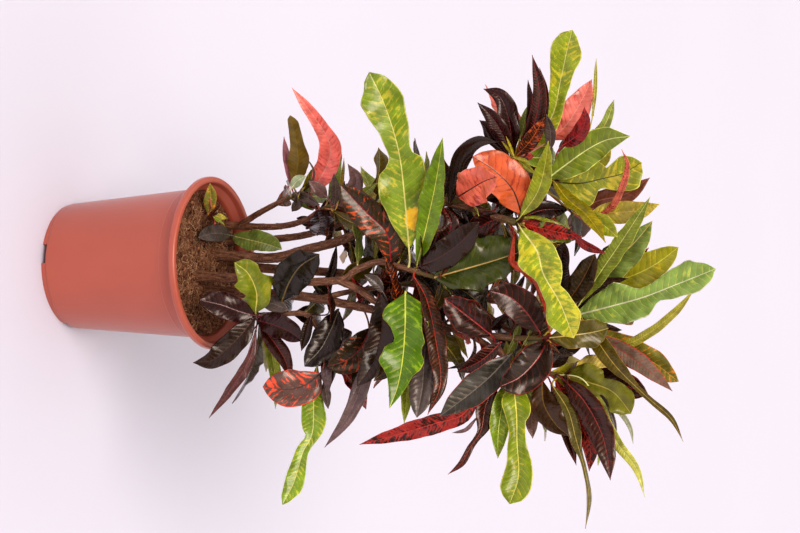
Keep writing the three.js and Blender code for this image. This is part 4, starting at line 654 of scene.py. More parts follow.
def unit(vectors):
    """The same directions, one long."""
    return vectors / np.linalg.norm(vectors, axis=-1, keepdims=True)


def runs_of(points):
    """How far along a line each of its points lies."""
    return np.concatenate([[0], np.cumsum(np.linalg.norm(np.diff(points, axis=0), axis=1))])


def blend(t, start, away, end, into):
    """The cubic that leaves start in the direction away and comes to end in the direction into."""
    return ((2 * t**3 - 3 * t**2 + 1) * start + (t**3 - 2 * t**2 + t) * away
            + (3 * t**2 - 2 * t**3) * end + (t**3 - t**2) * into)


def drawn(dice, least, more, rarity=1):
    """A random value from least to least + more; the higher the rarity, the rarer the large ones."""
    return least + more * dice.random() ** rarity


def seen(x, z, y):
    """The point at depth y that covers (x, z) of the plane y = 0 when seen from the front view."""
    reach = (y - EYE[1]) / -EYE[1]
    return np.array((EYE[0] + (x - EYE[0]) * reach, y, EYE[2] + (z - EYE[2]) * reach))


class Line:
    """A smooth line through a few points, walked by its length."""

    def __init__(self, points, steps=SPAN_STEPS):
        points = np.asarray(points, float)
        padded = np.vstack([2 * points[0] - points[1], points, 2 * points[-1] - points[-2]])
        t = np.linspace(0, 1, steps, endpoint=False)[:, None]
        spans = []
        for before, start, end, after in zip(padded, padded[1:], padded[2:], padded[3:]):
            spans.append(blend(t, start, (end - before) / 2, end, (after - start) / 2))
        self.points = np.vstack([*spans, points[-1:]])
        self.runs = runs_of(self.points)
        self.length = self.runs[-1]

    def at(self, shares):
        """Points at these shares of the line's length."""
        runs = np.clip(shares, 0, 1) * self.length
        return np.stack([np.interp(runs, self.runs, self.points[:, k]) for k in range(3)], axis=-1)

    def direction(self, shares):
        """Directions at these shares of the line's length."""
        shares = np.asarray(shares)
        return unit(self.at(shares + DIRECTION_SPAN) - self.at(shares - DIRECTION_SPAN))


def frame_of(direction, facing, turn=0.0):
    """The side and face directions of sections whose face looks towards facing, turned about the line."""
    across = unit(np.cross(direction, facing))
    out = np.cross(across, direction)
    turn = np.reshape(turn, (-1, 1))
    return across * np.cos(turn) + out * np.sin(turn), out * np.cos(turn) - across * np.sin(turn)


def smooth_through(known, values, wanted):
    """A curve through known values that never swings past them."""
    known = np.asarray(known, float)
    values = np.asarray(values, float)
    gaps = np.diff(known)
    slopes = np.diff(values) / gaps
    bends = np.zeros(len(known))
    bends[0] = slopes[0]
    bends[-1] = slopes[-1]
    for i in range(1, len(known) - 1):
        if slopes[i - 1] * slopes[i] > 0:
            near = 2 * gaps[i] + gaps[i - 1]
            far = gaps[i] + 2 * gaps[i - 1]
            bends[i] = (near + far) / (near / slopes[i - 1] + far / slopes[i])
    span = np.clip(np.searchsorted(known, wanted, side="right") - 1, 0, len(gaps) - 1)
    t = (wanted - known[span]) / gaps[span]
    return blend(t, values[span], gaps[span] * bends[span], values[span + 1], gaps[span] * bends[span + 1])


# Growing: the same plants as the solids, each leaf in the way that its solid was laid

class Branch:
    """A woody stem or twig: its line, its radii, and whether it stands in the mix."""

    def __init__(self, path, low, high):
        points = np.array([seen(x, z, y) for x, z, y in path])
        self.rooted = abs(points[0][2] - SOIL_Z) < ROOT_RISE
        if self.rooted:
            points[0][2] = SOIL_Z + ROOT_RISE
        self.line = Line(points)
        self.low = low
        self.high = high
        parts = np.arange(1, SPAN_STEPS + 1)[None, :, None] / SPAN_STEPS
        self.axis = (points[:-1, None] * (1 - parts) + points[1:, None] * parts).reshape(-1, 3)


def root_on(axis, roots, point):
    """Which free place of the branches a leaf stands on: the nearest, and no higher than its blade."""
    costs = np.linalg.norm(axis - point, axis=1) + np.maximum(0, axis[:, 2] - point[2])
    for other in roots:
        costs = costs + CROWDING_COST * np.maximum(0, ROOT_SPACING - np.linalg.norm(axis - other, axis=1))
    return int(np.argmin(costs))


def faced(way, centres):
    """Where a leaf faces along its line: to the front view, or its own way."""
    if way["facing"] is None:
        return unit(EYE - centres)
    return np.tile(way["facing"], (len(centres), 1))


def arching(base, around, rise, reach, droop, stations):
    """The points of a leaf that leaves base round this angle and at this rise, and the way that it faces."""
    away = np.array((math.cos(around), math.sin(around), 0))
    points = np.array([base + away * reach * math.cos(rise) * part
                       + np.array((0, 0, reach * (math.sin(rise) * part - droop * part**2)))
                       for part in stations])
    return points, unit(np.array((0, 0, 1)) + FACE_LEAN * away)


def solid_corners(way, root):
    """The corners that a leaf's solid has when it is laid this way."""
    shares, breadths = np.array(FORMS[way["form"]]).T
    centres = way["line"].at(shares)
    side, face = frame_of(way["line"].direction(shares), faced(way, centres), way["turn"])
    half = breadths * way["width"] / 2
    half[0] = max(half[0], STALK_RADIUS)
    wave = np.where(np.arange(len(shares)) % 2, WAVE, -WAVE)
    first = 1 if np.linalg.norm(centres[0] - root) < SHORT_STALK else 0
    rings = []
    for place, i in enumerate(range(first, len(shares) - 1)):
        thick = STALK_RADIUS if place == 0 else HALF_THICKNESS
        out = side[i] * math.cos(FOLD) * half[i]
        lift = face[i] * math.sin(FOLD) * half[i]
        rings += [centres[i] - out + lift - face[i] * wave[i] * half[i], centres[i] + face[i] * thick,
                  centres[i] + out + lift + face[i] * wave[i] * half[i], centres[i] - face[i] * thick]
    return [*rings, centres[-1]]


def laid(ways, plant, corners_at):
    """The way whose corners are found in the solid, or nothing if that leaf was left out."""
    best = None
    for way in ways:
        root = root_on(plant["axis"], plant["roots"], way["points"][0])
        corners = solid_corners(way, plant["axis"][root])
        found = np.mean([corners_at.find(corner)[2] < FOUND_WITHIN for corner in corners])
        if found >= FOUND_SHARE and (best is None or found > best["found"]):
            best = {**way, "root": root, "found": found}
    return best


def ways_of_read(form, width, turn, base_y, tip_y, path):
    """Every way that a leaf read from the front may have been laid, the least bent first."""
    runs = runs_of(np.array([(x, 0, z) for x, z in path], float))
    for swing in TIP_SWINGS:
        depths = base_y + (tip_y + swing - base_y) * runs / runs[-1]
        points = np.array([seen(x, z, y) for (x, z), y in zip(path, depths)])
        line = Line(points)
        for more in BLADE_TURNS:
            yield {"points": points, "line": line, "form": form, "width": width,
                   "turn": math.radians(turn + more), "facing": None}


def ways_of_spiral(plant, branch, count, length, width, form, first, roll):
    """For each leaf of a spiral its share down the branch, and every way that it may have been laid."""
    line = plant["branches"][branch].line
    made = 0
    for i in range(count * 2):
        if made == count:
            break
        around = math.radians(first) + i * GOLDEN_ANGLE + (roll() - 0.5) * ANGLE_SPREAD
        share = i / (count * 2 - 1)
        reach = length * (1 + SIZE_SPREAD * (roll() - 0.5))
        breadth = width * (1 + SIZE_SPREAD * (roll() - 0.5))
        rise = TOP_RISE + (LOW_RISE - TOP_RISE) * share + (roll() - 0.5) * ANGLE_SPREAD
        if math.sin(around) < BEHIND:
            continue
        made += 1
        base = line.at(1 - SPIRAL_SHARE * share)
        ways = []
        for climb in RISE_SWINGS:
            for swing in ROUND_SWINGS:
                if math.sin(around + swing) <= BEHIND:
                    continue
                points, facing = arching(base, around + swing, rise + climb, reach, DROOP, SPIRAL_STATIONS)
                ways.append({"points": points, "line": Line(points), "form": form, "width": breadth,
                             "turn": 0.0, "facing": facing})
        yield share, ways


def dice_from(seed):
    """Random draws that come out the same in the solids' own script."""
    state = seed

    def roll():
        nonlocal state
        state = state * DICE_STEP % DICE_PRIME
        return state / DICE_PRIME
    return roll


def grow():
    """Every plant with its branches and the leaves that its solid holds."""
    plants = {}
    roll = dice_from(SEED)
    for name, rows in BRANCHES.items():
        branches = [Branch(*row) for row in rows]
        plants[name] = {
            "branches": branches,
            "axis": np.vstack([branch.axis for branch in branches]),
            "smooth": np.vstack([branch.line.points[1:] for branch in branches]),
            "roots": [],
            "leaves": [],
        }
    for name, plant in plants.items():
        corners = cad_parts[name].data.vertices
        corners_at = KDTree(len(corners))
        for i, corner in enumerate(corners):
            corners_at.insert(corner.co / MM, i)
        corners_at.balance()
        plant["corners_at"] = corners_at
        for *row, tone in LEAVES[name]:
            keep_leaf(plant, laid(ways_of_read(*row), plant, corners_at), tone)
            if (name, tone) == SPOTTED_LEAF:
                plant["leaves"][-1]["spot"] = RIPE_SPOT
    choices = random.Random(SEED)
    for name, plant in plants.items():
        for row in SPIRALS[name]:
            for share, ways in ways_of_spiral(plant, *row, roll):
                # lower down, leaves more often take the dark tones: partly their own colours, partly painted
                # shade of the crown
                young = YOUNG_SHARE_TOP + (YOUNG_SHARE_LOW - YOUNG_SHARE_TOP) * share
                tones = YOUNG_TONES if choices.random() < young else SHADED_TONES
                keep_leaf(plant, laid(ways, plant, plant["corners_at"]), choices.choice(tones))
    return plants


def keep_leaf(plant, leaf, tone):
    """Adds a leaf that was found in its solid, and takes up its place on the branch."""
    if leaf is None:
        return
    plant["roots"].append(plant["axis"][leaf["root"]])
    plant["leaves"].append({**leaf, "tone": tone})


def add_small_leaf(plant, base, around, rise, reach, slim, tone):
    """Adds a leaf of the plainest form, which stands on the branch nearest to base."""
    points, facing = arching(base, around, rise, reach, SMALL_DROOP, SMALL_STATIONS)
    root = int(np.argmin(np.linalg.norm(plant["smooth"] - base, axis=1)))
    plant["leaves"].append({"points": points, "form": "lance", "width": reach * slim, "turn": 0.0,
                            "root": root, "tone": tone, "facing": facing})


def add_small_leaves(plant, dice):
    """Young leaves crowding each shoot's tip and dark ones in the shade below, left out of the solids.

    The dark ones' tones add painted shade to the crown's inside, besides the shade that they cast.
    """
    for branch in plant["branches"]:
        tip = branch.line.at(1.0)
        first = math.tau * dice.random()
        for i in range(YOUNG_COUNT):
            rise = YOUNG_RISE * (1 - YOUNG_SINK * i / YOUNG_COUNT)
            grown = YOUNG_SMALLEST + (1 - YOUNG_SMALLEST) * i / YOUNG_COUNT
            reach = YOUNG_REACH * grown * drawn(dice, *YOUNG_SIZES)
            tones = YOUNG_TONES if dice.random() < YOUNG_BRIGHT else SHADED_TONES
            add_small_leaf(plant, tip, first + i * GOLDEN_ANGLE, rise, reach, YOUNG_SLIM, dice.choice(tones))
        if tip[2] < CROWN_Z:
            continue
        count = int(branch.line.length * (1 - SHADE_FROM) / SHADE_GAP)
        for i in range(count):
            around = first + i * GOLDEN_ANGLE
            if math.sin(around) < SHADE_FRONT:
                continue
            base = branch.line.at(SHADE_FROM + (1 - SHADE_FROM) * i / count)
            rise = math.radians(drawn(dice, *SHADE_RISES))
            reach = SHADE_REACH * drawn(dice, *SHADE_SIZES)
            # their dark tones are painted shade that deepens the crown's inside, besides the shade these
            # leaves cast
            add_small_leaf(plant, base, around, rise, reach, SHADE_SLIM, dice.choice(SHADED_TONES))


# Meshes

class Skin:
    """Points and faces gathered for one piece, with what each point or face carries."""

    def __init__(self):
        self.points = []
        self.faces = []
        self.slots = []
        self.marks = {}
        self.count = 0

    def add(self, points, faces, slot=0, **marks):
        """Adds one part. Faces are arrays of rows of corner numbers; a mark is one value, or one a point."""
        for rows in faces:
            rows = np.asarray(rows) + self.count
            self.faces.append(rows)
            self.slots.append(np.full(len(rows), slot))
        for name, value in marks.items():
            value = np.asarray(value, float)
            whole = value if value.shape[:1] == (len(points),) else np.tile(value, (len(points), 1))
            self.marks.setdefault(name, []).append(whole.reshape(len(points), -1))
        self.points.append(np.asarray(points, float))
        self.count += len(points)

    def piece(self, name, materials):
        """Makes the named object; the mark called veins is its map, the others are attributes."""
        mesh = bpy.data.meshes.new(name)
        points = np.vstack(self.points) * MM
        corners = np.concatenate([rows.ravel() for rows in self.faces])
        sizes = np.concatenate([np.full(len(rows), rows.shape[1]) for rows in self.faces])
        mesh.vertices.add(len(points))
        mesh.vertices.foreach_set("co", points.ravel())
        mesh.loops.add(len(corners))
        mesh.loops.foreach_set("vertex_index", corners.astype(np.int32))
        mesh.polygons.add(len(sizes))
        starts = np.concatenate([[0], np.cumsum(sizes)[:-1]])
        mesh.polygons.foreach_set("loop_start", starts.astype(np.int32))
        for material in materials:
            mesh.materials.append(material)
        mesh.polygons.foreach_set("material_index", np.concatenate(self.slots).astype(np.int32))
        mesh.update(calc_edges=True)
        mesh.polygons.foreach_set("use_smooth", np.ones(len(sizes), bool))
        for mark, parts in self.marks.items():
            values = np.vstack(parts)
            if mark == "veins":
                layer = mesh.uv_layers.new(name=mark)
                layer.data.foreach_set("uv", values[corners].ravel())
                continue
            kind, field = {1: ("FLOAT", "value"), 3: ("FLOAT_VECTOR", "vector")}[values.shape[1]]
            mesh.attributes.new(mark, kind, "POINT").data.foreach_set(field, values.ravel())
        made = bpy.data.objects.new(name, mesh)
        bpy.context.scene.collection.objects.link(made)
        return made


def grid_faces(rows, columns, closed=False):
    """Quads between rows of points, wound so that their face looks along (column step) x (row step)."""
    i, k = np.meshgrid(np.arange(rows - 1), np.arange(columns if closed else columns - 1), indexing="ij")
    start = (i * columns + k).ravel()
    beside = (i * columns + (k + 1) % columns).ravel()
    return np.stack([start, beside, beside + columns, start + columns], axis=1)


def closed_faces(rings, sides):
    """Faces of a closed skin over rings of points: quads between the rings, and one face at each end."""
    around = np.arange(sides)
    return [grid_faces(rings, sides, closed=True), np.array([around[::-1], (rings - 1) * sides + around])]


def tube(line_points, radii, sides, facing=(0, -1, 0)):
    """Rings about a line, each round or with a radius for each side, and faces that close it at both ends."""
    points = np.asarray(line_points, float)
    ahead = unit(np.gradient(points, axis=0))
    side, face = frame_of(ahead, np.tile(np.asarray(facing, float), (len(points), 1)))
    angles = -math.tau * np.arange(sides)[:, None] / sides
    spokes = side[:, None] * np.cos(angles) + face[:, None] * np.sin(angles)
    rings = points[:, None] + spokes * np.asarray(radii, float).reshape(len(points), -1)[..., None]
    return rings.reshape(-1, 3), closed_faces(len(points), sides)


# Leaves

def linear(code):
    """A colour written as sRGB hex, in Blender's linear values."""
    parts = np.array([int(code[i:i + 2], 16) for i in (0, 2, 4)]) / 255
    return np.where(parts <= 0.04045, parts / 12.92, ((parts + 0.055) / 1.055) ** 2.4)


def leaf_marks(tone, dice):
    """A leaf's colours and pattern traits, its tone shifted a little in lightness and warmth."""
    colours, patched, veined, edged = TONES[tone]
    shade = 1 + TONE_SPREAD * (dice.random() - 0.5)
    warmth = TONE_SPREAD * (dice.random() - 0.5)
    tint = np.array((1 + warmth, 1, 1 - warmth)) * shade
    marks = {part: np.clip(linear(code) * tint, 0, 1) for part, code in zip(TONE_PARTS, colours.split())}
    marks["traits"] = np.array((patched, veined, edged))
    return marks


def half_widths(leaf, down, sign, dice):
    """A blade's half width at each point; its two halves swell and narrow at slightly different places."""
    lean = LOBE_LEAN * drawn(dice, -1, 2)
    places = np.clip(down + lean * sign * np.sin(math.pi * down), 0, 1)
    hooked = HOOKED_SIDES.get(leaf["tone"], 1 if lean > 0 else -1)
    jut = 0
    for on_side, share, size in HOOKS.get(leaf["tone"], HOOKS.get(leaf["form"], ())):
        span = np.where(places < share, HOOK_RISE, HOOK_FALL)
        jut = jut + size * np.exp(-((places - share) / span) ** 2) * (sign == on_side * hooked)
    known, breadths = np.array(FULLER.get(leaf["tone"], FORMS[leaf["form"]])).T
    half = np.maximum((smooth_through(known, breadths, places) + jut) * leaf["width"] / 2, TIP_HALF)
    stalk_half = np.minimum(STALK_RADIUS, half + STALK_RADIUS * (1 - down))
    return np.where(down < STALK_SHARE, np.maximum(half, stalk_half), half)


def blade_faces(rows, columns):
    """Faces above and below a blade, which share the points of its margin, and its two blunt ends."""
    inner = columns - 2
    under = np.arange(rows * columns).reshape(rows, columns)
    under[:, 1:-1] = rows * columns + np.arange(rows * inner).reshape(rows, inner)
    corners = [under[:-1, :-1], under[1:, :-1], under[1:, 1:], under[:-1, 1:]]
    foot = np.concatenate([np.arange(columns)[::-1], under[0, 1:-1]])
    tip = np.concatenate([np.arange(columns) + (rows - 1) * columns, under[-1, 1:-1][::-1]])
    return [grid_faces(rows, columns), np.stack(corners, axis=-1).reshape(-1, 4), foot[None], tip[None]]


def ripeness(leaf, line, down, aside):
    """How deep each point lies in the leaf's ripe spot, below 0 outside it."""
    if "spot" not in leaf:
        return np.full(aside.shape, -1.0)
    share, across, reach = leaf["spot"]
    return 1 - np.hypot((down - share) * line.length, aside - across) / reach


def waved_blade(leaf, line, dice):
    """A blade with a waved margin, arched halves and a midrib raised below.

    Gives the points above and below, how far each is down the blade, aside of the midrib and out to the
    margin, and the way that the blade's foot faces.
    """
    shares = np.linspace(0, 1, int(np.clip(line.length / ROW_LENGTH, FEWEST_ROWS, LEAF_ROWS)))
    shares = shares + TIP_CROWDING * np.sin(math.pi * shares) * shares
    down = shares[:, None]
    cross = np.concatenate([-np.array(LEAF_COLUMNS)[:0:-1], LEAF_COLUMNS])
    sign = np.sign(cross)
    reach = np.abs(cross)
    ends = np.sin(math.pi * np.clip(down, 0, 1)) ** END_FADE

    centres = line.at(shares)
    twist = TWIST * drawn(dice, -1, 2)
    side, face = frame_of(line.direction(shares), faced(leaf, centres), leaf["turn"] + twist * shares)

    half = half_widths(leaf, down, sign, dice)
    lobes = line.length / RIPPLE_LENGTH
    phase = np.where(cross < 0, dice.random(), dice.random())
    slow = np.sin(math.tau * (lobes * down + phase))
    quick = np.sin(math.tau * (QUICK_RATE * lobes * down + QUICK_LAG * phase))
    out = half * reach * (1 + SCALLOP * ends * np.sin(math.tau * (lobes * down + phase + SCALLOP_LAG)))
    known = np.array(FORMS[leaf["form"]])[:, 0]
    waves = smooth_through(known, np.where(np.arange(len(known)) % 2, WAVE, -WAVE), down)
    ripple = RIPPLE * (1 + RIPPLE_SPREAD * drawn(dice, -1, 2))
    arch = ARCH * (1 + ARCH_SPREAD * drawn(dice, -1, 2))
    lift = half * (math.sin(FOLD) * reach**CUP_POWER
                   + waves * sign * reach**WAVE_POWER
                   + ripple * ends * (slow + QUICK_RIPPLE * quick) * reach**2
                   + arch * np.sin(math.pi * reach))
    surface = (centres[:, None] + side[:, None] * (sign * out * math.cos(FOLD))[..., None]
               + face[:, None] * lift[..., None])
    rib = np.exp(-(out / RIB_WIDTH) ** 2) * (1 - RIB_FADE * down)
    leaf_edge = 1 - reach**EDGE_POWER
    above = surface + face[:, None] * (BLADE * leaf_edge + RIB_ABOVE * rib)[..., None]
    below = surface - face[:, None] * (BLADE * leaf_edge + RIB_BELOW * rib)[..., None]
    return above, below, down, sign * out, reach, face[0]


def fine_leaf(skin, plant, leaf, dice):
    """A blade on its stalk, with the colours and places that its material reads."""
    line = Line(leaf["points"], FINE_STEPS)
    above, below, down, aside, reach, facing = waved_blade(leaf, line, dice)

    def both(values):
        """A value for each point above, then for each point below that the margin doesn't share."""
        values = np.broadcast_to(values, aside.shape)
        return np.concatenate([values.ravel(), values[:, 1:-1].ravel()])

    spacing = np.clip(leaf["width"] * VEIN_SPACING, *VEIN_SPACING_LIMITS)
    seed = dice.random()
    marks = leaf_marks(leaf["tone"], dice)
    points = np.vstack([above.reshape(-1, 3), below[:, 1:-1].reshape(-1, 3)])
    along = both(down * line.length / spacing) + PATTERN_REACH * seed
    skin.add(np.clip(points, *solids_reach), blade_faces(*aside.shape),
             veins=np.stack([along, both(aside / spacing)], axis=1),
             place=np.stack([both(reach), both(down), np.full(len(points), seed)], axis=1),
             underside=np.arange(len(points)) >= aside.size,
             ripe=both(ripeness(leaf, line, down, aside)), **marks)
    root = plant["smooth"][leaf["root"]]
    base = line.at(0.0) + facing * BLADE
    fine_stalk(skin, root, base, line.direction(0.0), facing, leaf["width"],
               veins=(PATTERN_REACH * seed, 0.0), place=(0.0, 0.0, seed), **marks)


def fine_stalk(skin, root, base, ahead, facing, width, **marks):
    """A round stalk, swollen where it leaves the stem, that lifts off it and runs on into the midrib."""
    gap = np.linalg.norm(base - root)
    start = unit(unit(base - root) + np.array((0, 0, STALK_LIFT)))
    t = np.linspace(0, 1, STALK_ROWS)[:, None]
    stalk = ((1 - t) ** 3 * root + 3 * (1 - t) ** 2 * t * (root + start * gap * STALK_PULL)
             + 3 * (1 - t) * t**2 * (base - ahead * gap * STALK_PULL) + t**3 * base)
    stalk = np.vstack([stalk, base + ahead * STALK_SINK])
    swell = 1 + STALK_SWELL * np.exp(-(np.linalg.norm(stalk - root, axis=1) / STALK_SWELL_REACH) ** 2)
    thickness = min(STALK_THICKEST, STALK_THINNEST + width / STALK_PER_WIDTH)
    radii = np.append(np.linspace(*STALK_RADII, STALK_ROWS), STALK_END) * swell * thickness
    points, faces = tube(stalk, radii, STALK_SIDES, facing=facing)
    skin.add(np.clip(points, *solids_reach), faces, underside=0, ripe=-1, **marks)


# Stems

def fine_stem(skin, branch, dice):
    """A bark tube with raised leaf scars that wind round it, ending in a closed bud."""
    line = Line(branch.line.points[::SPAN_STEPS], FINE_STEPS)
    shares = np.linspace(0, 1, max(FEWEST_STEM_ROWS, int(line.length / STEM_ROW)))
    points = line.at(shares)
    radii = branch.low + (branch.high - branch.low) * shares
    if branch.rooted:
        depths = np.linspace(-ROOT_DEPTH, -ROOT_RISE, ROOT_ROWS)
        points = np.vstack([[(*points[0][:2], SOIL_Z + depth) for depth in depths], points])
        radii = np.concatenate([np.full(ROOT_ROWS, branch.low), radii])
        shares = np.concatenate([np.zeros(ROOT_ROWS), shares]) ** 2
        above = points[:, 2] > SOIL_Z
        radii = radii * (1 + FOOT_FLARE * np.exp(-((points[:, 2] - SOIL_Z) / FLARE_HEIGHT) ** 2 * above))
    runs = runs_of(points)
    angles = math.tau * np.arange(STEM_SIDES) / STEM_SIDES
    bumps = np.zeros((len(points), STEM_SIDES))
    place = SCAR_FIRST * dice.random()
    turn = math.tau * dice.random()
    while place < runs[-1]:
        off = (angles - turn + math.pi) % math.tau - math.pi
        curve = (runs[:, None] - place - SCAR_SAG * np.cos(off)) / SCAR_HEIGHT
        bumps += SCAR_RAISE * np.exp(-curve**2 - (off / SCAR_WIDTH) ** 2)
        place += SCAR_SPACING * drawn(dice, *SCAR_SPACINGS)
        turn += GOLDEN_ANGLE
    rounds = [(LUMPS_ROUND * math.cos(angle), LUMPS_ROUND * math.sin(angle)) for angle in angles]
    lumps = np.array([[noise.noise(Vector((x, y, run / LUMP_LENGTH)) + Vector((turn, 0, 0)))
                       for x, y in rounds] for run in runs])
    rings = radii[:, None] + bumps + BARK_LUMPS * lumps
    cap = unit(points[-1] - points[-2])
    points = np.vstack([points, *(points[-1] + cap * branch.high * away for away, _ in BUD)])
    rings = np.vstack([rings, *(rings[-1] * size for _, size in BUD)])
    tube_points, faces = tube(points, rings, STEM_SIDES)
    round_way = np.tile(angles * branch.low, len(points))
    skin.add(tube_points, faces,
             veins=np.stack([round_way, np.repeat(runs_of(points), STEM_SIDES)], axis=1),
             young=np.repeat(np.concatenate([shares, [1, 1]]), STEM_SIDES))


# Pot

def rounded(corners):
    """A profile of (radius, z, rounding) with each inner corner turned into a short curve."""
    places = np.array([corner[:2] for corner in corners], float)
    line = [places[0]]
    for before, here, after, (_, _, rounding) in zip(places, places[1:], places[2:], corners[1:-1]):
        back = before - here
        on = after - here
        cut = min(rounding, CORNER_SHARE * np.linalg.norm(back), CORNER_SHARE * np.linalg.norm(on))
        start = here + unit(back) * cut
        end = here + unit(on) * cut
        for t in np.linspace(0, 1, CORNER_STEPS):
            line.append((1 - t) ** 2 * start + 2 * t * (1 - t) * here + t**2 * end)
    return np.array([*line, places[-1]])


def fine_pot():
    """The moulding, turned round its axis: soft corners, a faint ring under the lip, drainage notches.

    Its outline is a list of (radius, z, rounding), from the middle of the underside round to the inside.
    """
    foot_inner = FOOT_RADIUS - FOOT_WIDTH
    ring_radius = (BODY_LOW_RADIUS
                   + (BODY_TOP_RADIUS - BODY_LOW_RADIUS) * (RING_Z - BODY_LOW_Z) / (NECK_Z - BODY_LOW_Z))
    profile = rounded([
        (PAD_RADIUS * 0.2, 0, 0),
        (PAD_RADIUS, 0, 0.6),
        (PAD_RADIUS + 2, FLOOR_UNDER_Z, 1),
        (foot_inner, FLOOR_UNDER_Z, 1),
        (foot_inner + 1.5, 0, 0.6),
        (FOOT_RADIUS, 0, 0.6),
        (FOOT_RADIUS + 0.5, FOOT_STEP_Z, 0.4),
        (BODY_LOW_RADIUS, BODY_LOW_Z, 0.8),
        (ring_radius, RING_Z - 1.2, 0.3),
        (ring_radius + RING_RAISE, RING_Z, 0.3),
        (ring_radius + RING_RAISE * 0.8, RING_Z + 2.5, 0.6),
        (BODY_TOP_RADIUS, NECK_Z, 2),
        (MOUTH_RADIUS, LIP_UNDER_Z, 1.5),
        (LIP_RADIUS - 1.5, LIP_UNDER_Z, 0.8),
        (LIP_RADIUS, LIP_UNDER_Z + 2, 1.5),
        (LIP_RADIUS, POT_HEIGHT - 2, 1.8),
        (LIP_RADIUS - 2, POT_HEIGHT, 1.6),
        (MOUTH_RADIUS + 1.5, POT_HEIGHT, 1.2),
        (MOUTH_RADIUS, POT_HEIGHT - 1.5, 1),
        (MOUTH_RADIUS - 1.5, LIP_UNDER_Z + 2, 1),
        (BODY_TOP_RADIUS - WALL, NECK_Z, 2),
        (BODY_LOW_RADIUS - WALL, FLOOR_Z, 2),
        (PAD_RADIUS * 0.2, FLOOR_Z, 0),
    ])
    notches = [NOTCH_TURN + math.tau * i / NOTCH_COUNT for i in range(NOTCH_COUNT)]
    reach = NOTCH_WIDTH / 2 / FOOT_RADIUS
    turns = list(np.linspace(0, math.tau, POT_SIDES, endpoint=False))
    for notch in notches:
        turns += [(notch + side * reach * (1 + step)) % math.tau
                  for side in (-1, 1) for step in (-NOTCH_STEP, NOTCH_STEP)]
    turns = np.sort(turns)
    radii = profile[:, :1]
    heights = np.tile(profile[:, 1:], len(turns))
    for notch in notches:
        off = np.abs((turns - notch + math.pi) % math.tau - math.pi)
        cut = (off < reach) & (radii > foot_inner - 2) & (heights < NOTCH_HEIGHT)
        heights[cut] = NOTCH_HEIGHT
    points = np.stack([radii * np.cos(turns), radii * np.sin(turns), heights], axis=-1)
    skin = Skin()
    skin.add(points.reshape(-1, 3), closed_faces(len(profile), len(turns)))
    return skin


# Potting mix

def soil_height(x, y):
    """The mix's top: the waves of its solid, roughened by the grain of the peat."""
    waves = SOIL_RELIEF * math.sin(x / SOIL_WAVE) * math.cos(y / SOIL_WAVE)
    spot = Vector((x, y, PEAT_SLICE)) / PEAT_GRAIN
    return SOIL_Z + waves + PEAT_ROUGHNESS * noise.fractal(spot, *PEAT_FRACTAL)


def scatter_place(dice, reach):
    """A random place on the mix, even over its round."""
    radius = reach * math.sqrt(dice.random())
    turn = math.tau * dice.random()
    return radius * math.cos(turn), radius * math.sin(turn)


def lump(dice, size):
    """A crumb: a rough ball of twenty faces."""
    golden = (1 + math.sqrt(5)) / 2
    ball = unit(np.array([(-1, golden, 0), (1, golden, 0), (-1, -golden, 0), (1, -golden, 0),
                          (0, -1, golden), (0, 1, golden), (0, -1, -golden), (0, 1, -golden),
                          (golden, 0, -1), (golden, 0, 1), (-golden, 0, -1), (-golden, 0, 1)], float))
    faces = np.array([(0, 11, 5), (0, 5, 1), (0, 1, 7), (0, 7, 10), (0, 10, 11), (1, 5, 9), (5, 11, 4),
                      (11, 10, 2), (10, 7, 6), (7, 1, 8), (3, 9, 4), (3, 4, 2), (3, 2, 6), (3, 6, 8),
                      (3, 8, 9), (4, 9, 5), (2, 4, 11), (6, 2, 10), (8, 6, 7), (9, 8, 1)])
    rough = np.array([[drawn(dice, *LUMP_ROUGHNESS)] for _ in ball])
    turned = Matrix.Rotation(math.tau * dice.random(), 3, "Z") @ Matrix.Rotation(dice.random() - 0.5, 3, "X")
    return (ball * rough * np.array(size) * np.array((1, 1, LUMP_FLAT))) @ np.array(turned).T, faces


def peat_bed():
    """The mix's settled top."""
    turns = np.linspace(0, math.tau, PEAT_SIDES, endpoint=False)
    places = [(radius * math.cos(turn), radius * math.sin(turn))
              for radius in PEAT_EDGE * np.linspace(PEAT_MIDDLE, 1, PEAT_RINGS) for turn in turns]
    quads = grid_faces(PEAT_RINGS, PEAT_SIDES, closed=True)[:, ::-1]
    return np.array([(x, y, soil_height(x, y)) for x, y in places]), [quads, np.arange(PEAT_SIDES)[None]]


def fibre_path(dice):
    """A coir fibre that wanders over the mix and stands up a little in the middle."""
    x, y = scatter_place(dice, PEAT_EDGE - FIBRE_INSET)
    heading = math.tau * dice.random()
    step = drawn(dice, *FIBRE_LENGTHS) / FIBRE_STEPS
    bend = FIBRE_BEND * (dice.random() - 0.5)
    loft = drawn(dice, *FIBRE_LOFTS)
    path = []
    for k in range(FIBRE_STEPS):
        if math.hypot(x, y) > PEAT_EDGE - FIBRE_STOP:
            break
        arch = loft * math.sin(math.pi * k / (FIBRE_STEPS - 1))
        path.append((x, y, soil_height(x, y) + FIBRE_SEAT + arch))
        heading += bend + FIBRE_WANDER * (dice.random() - 0.5)
        x += step * math.cos(heading)
        y += step * math.sin(heading)
    return path


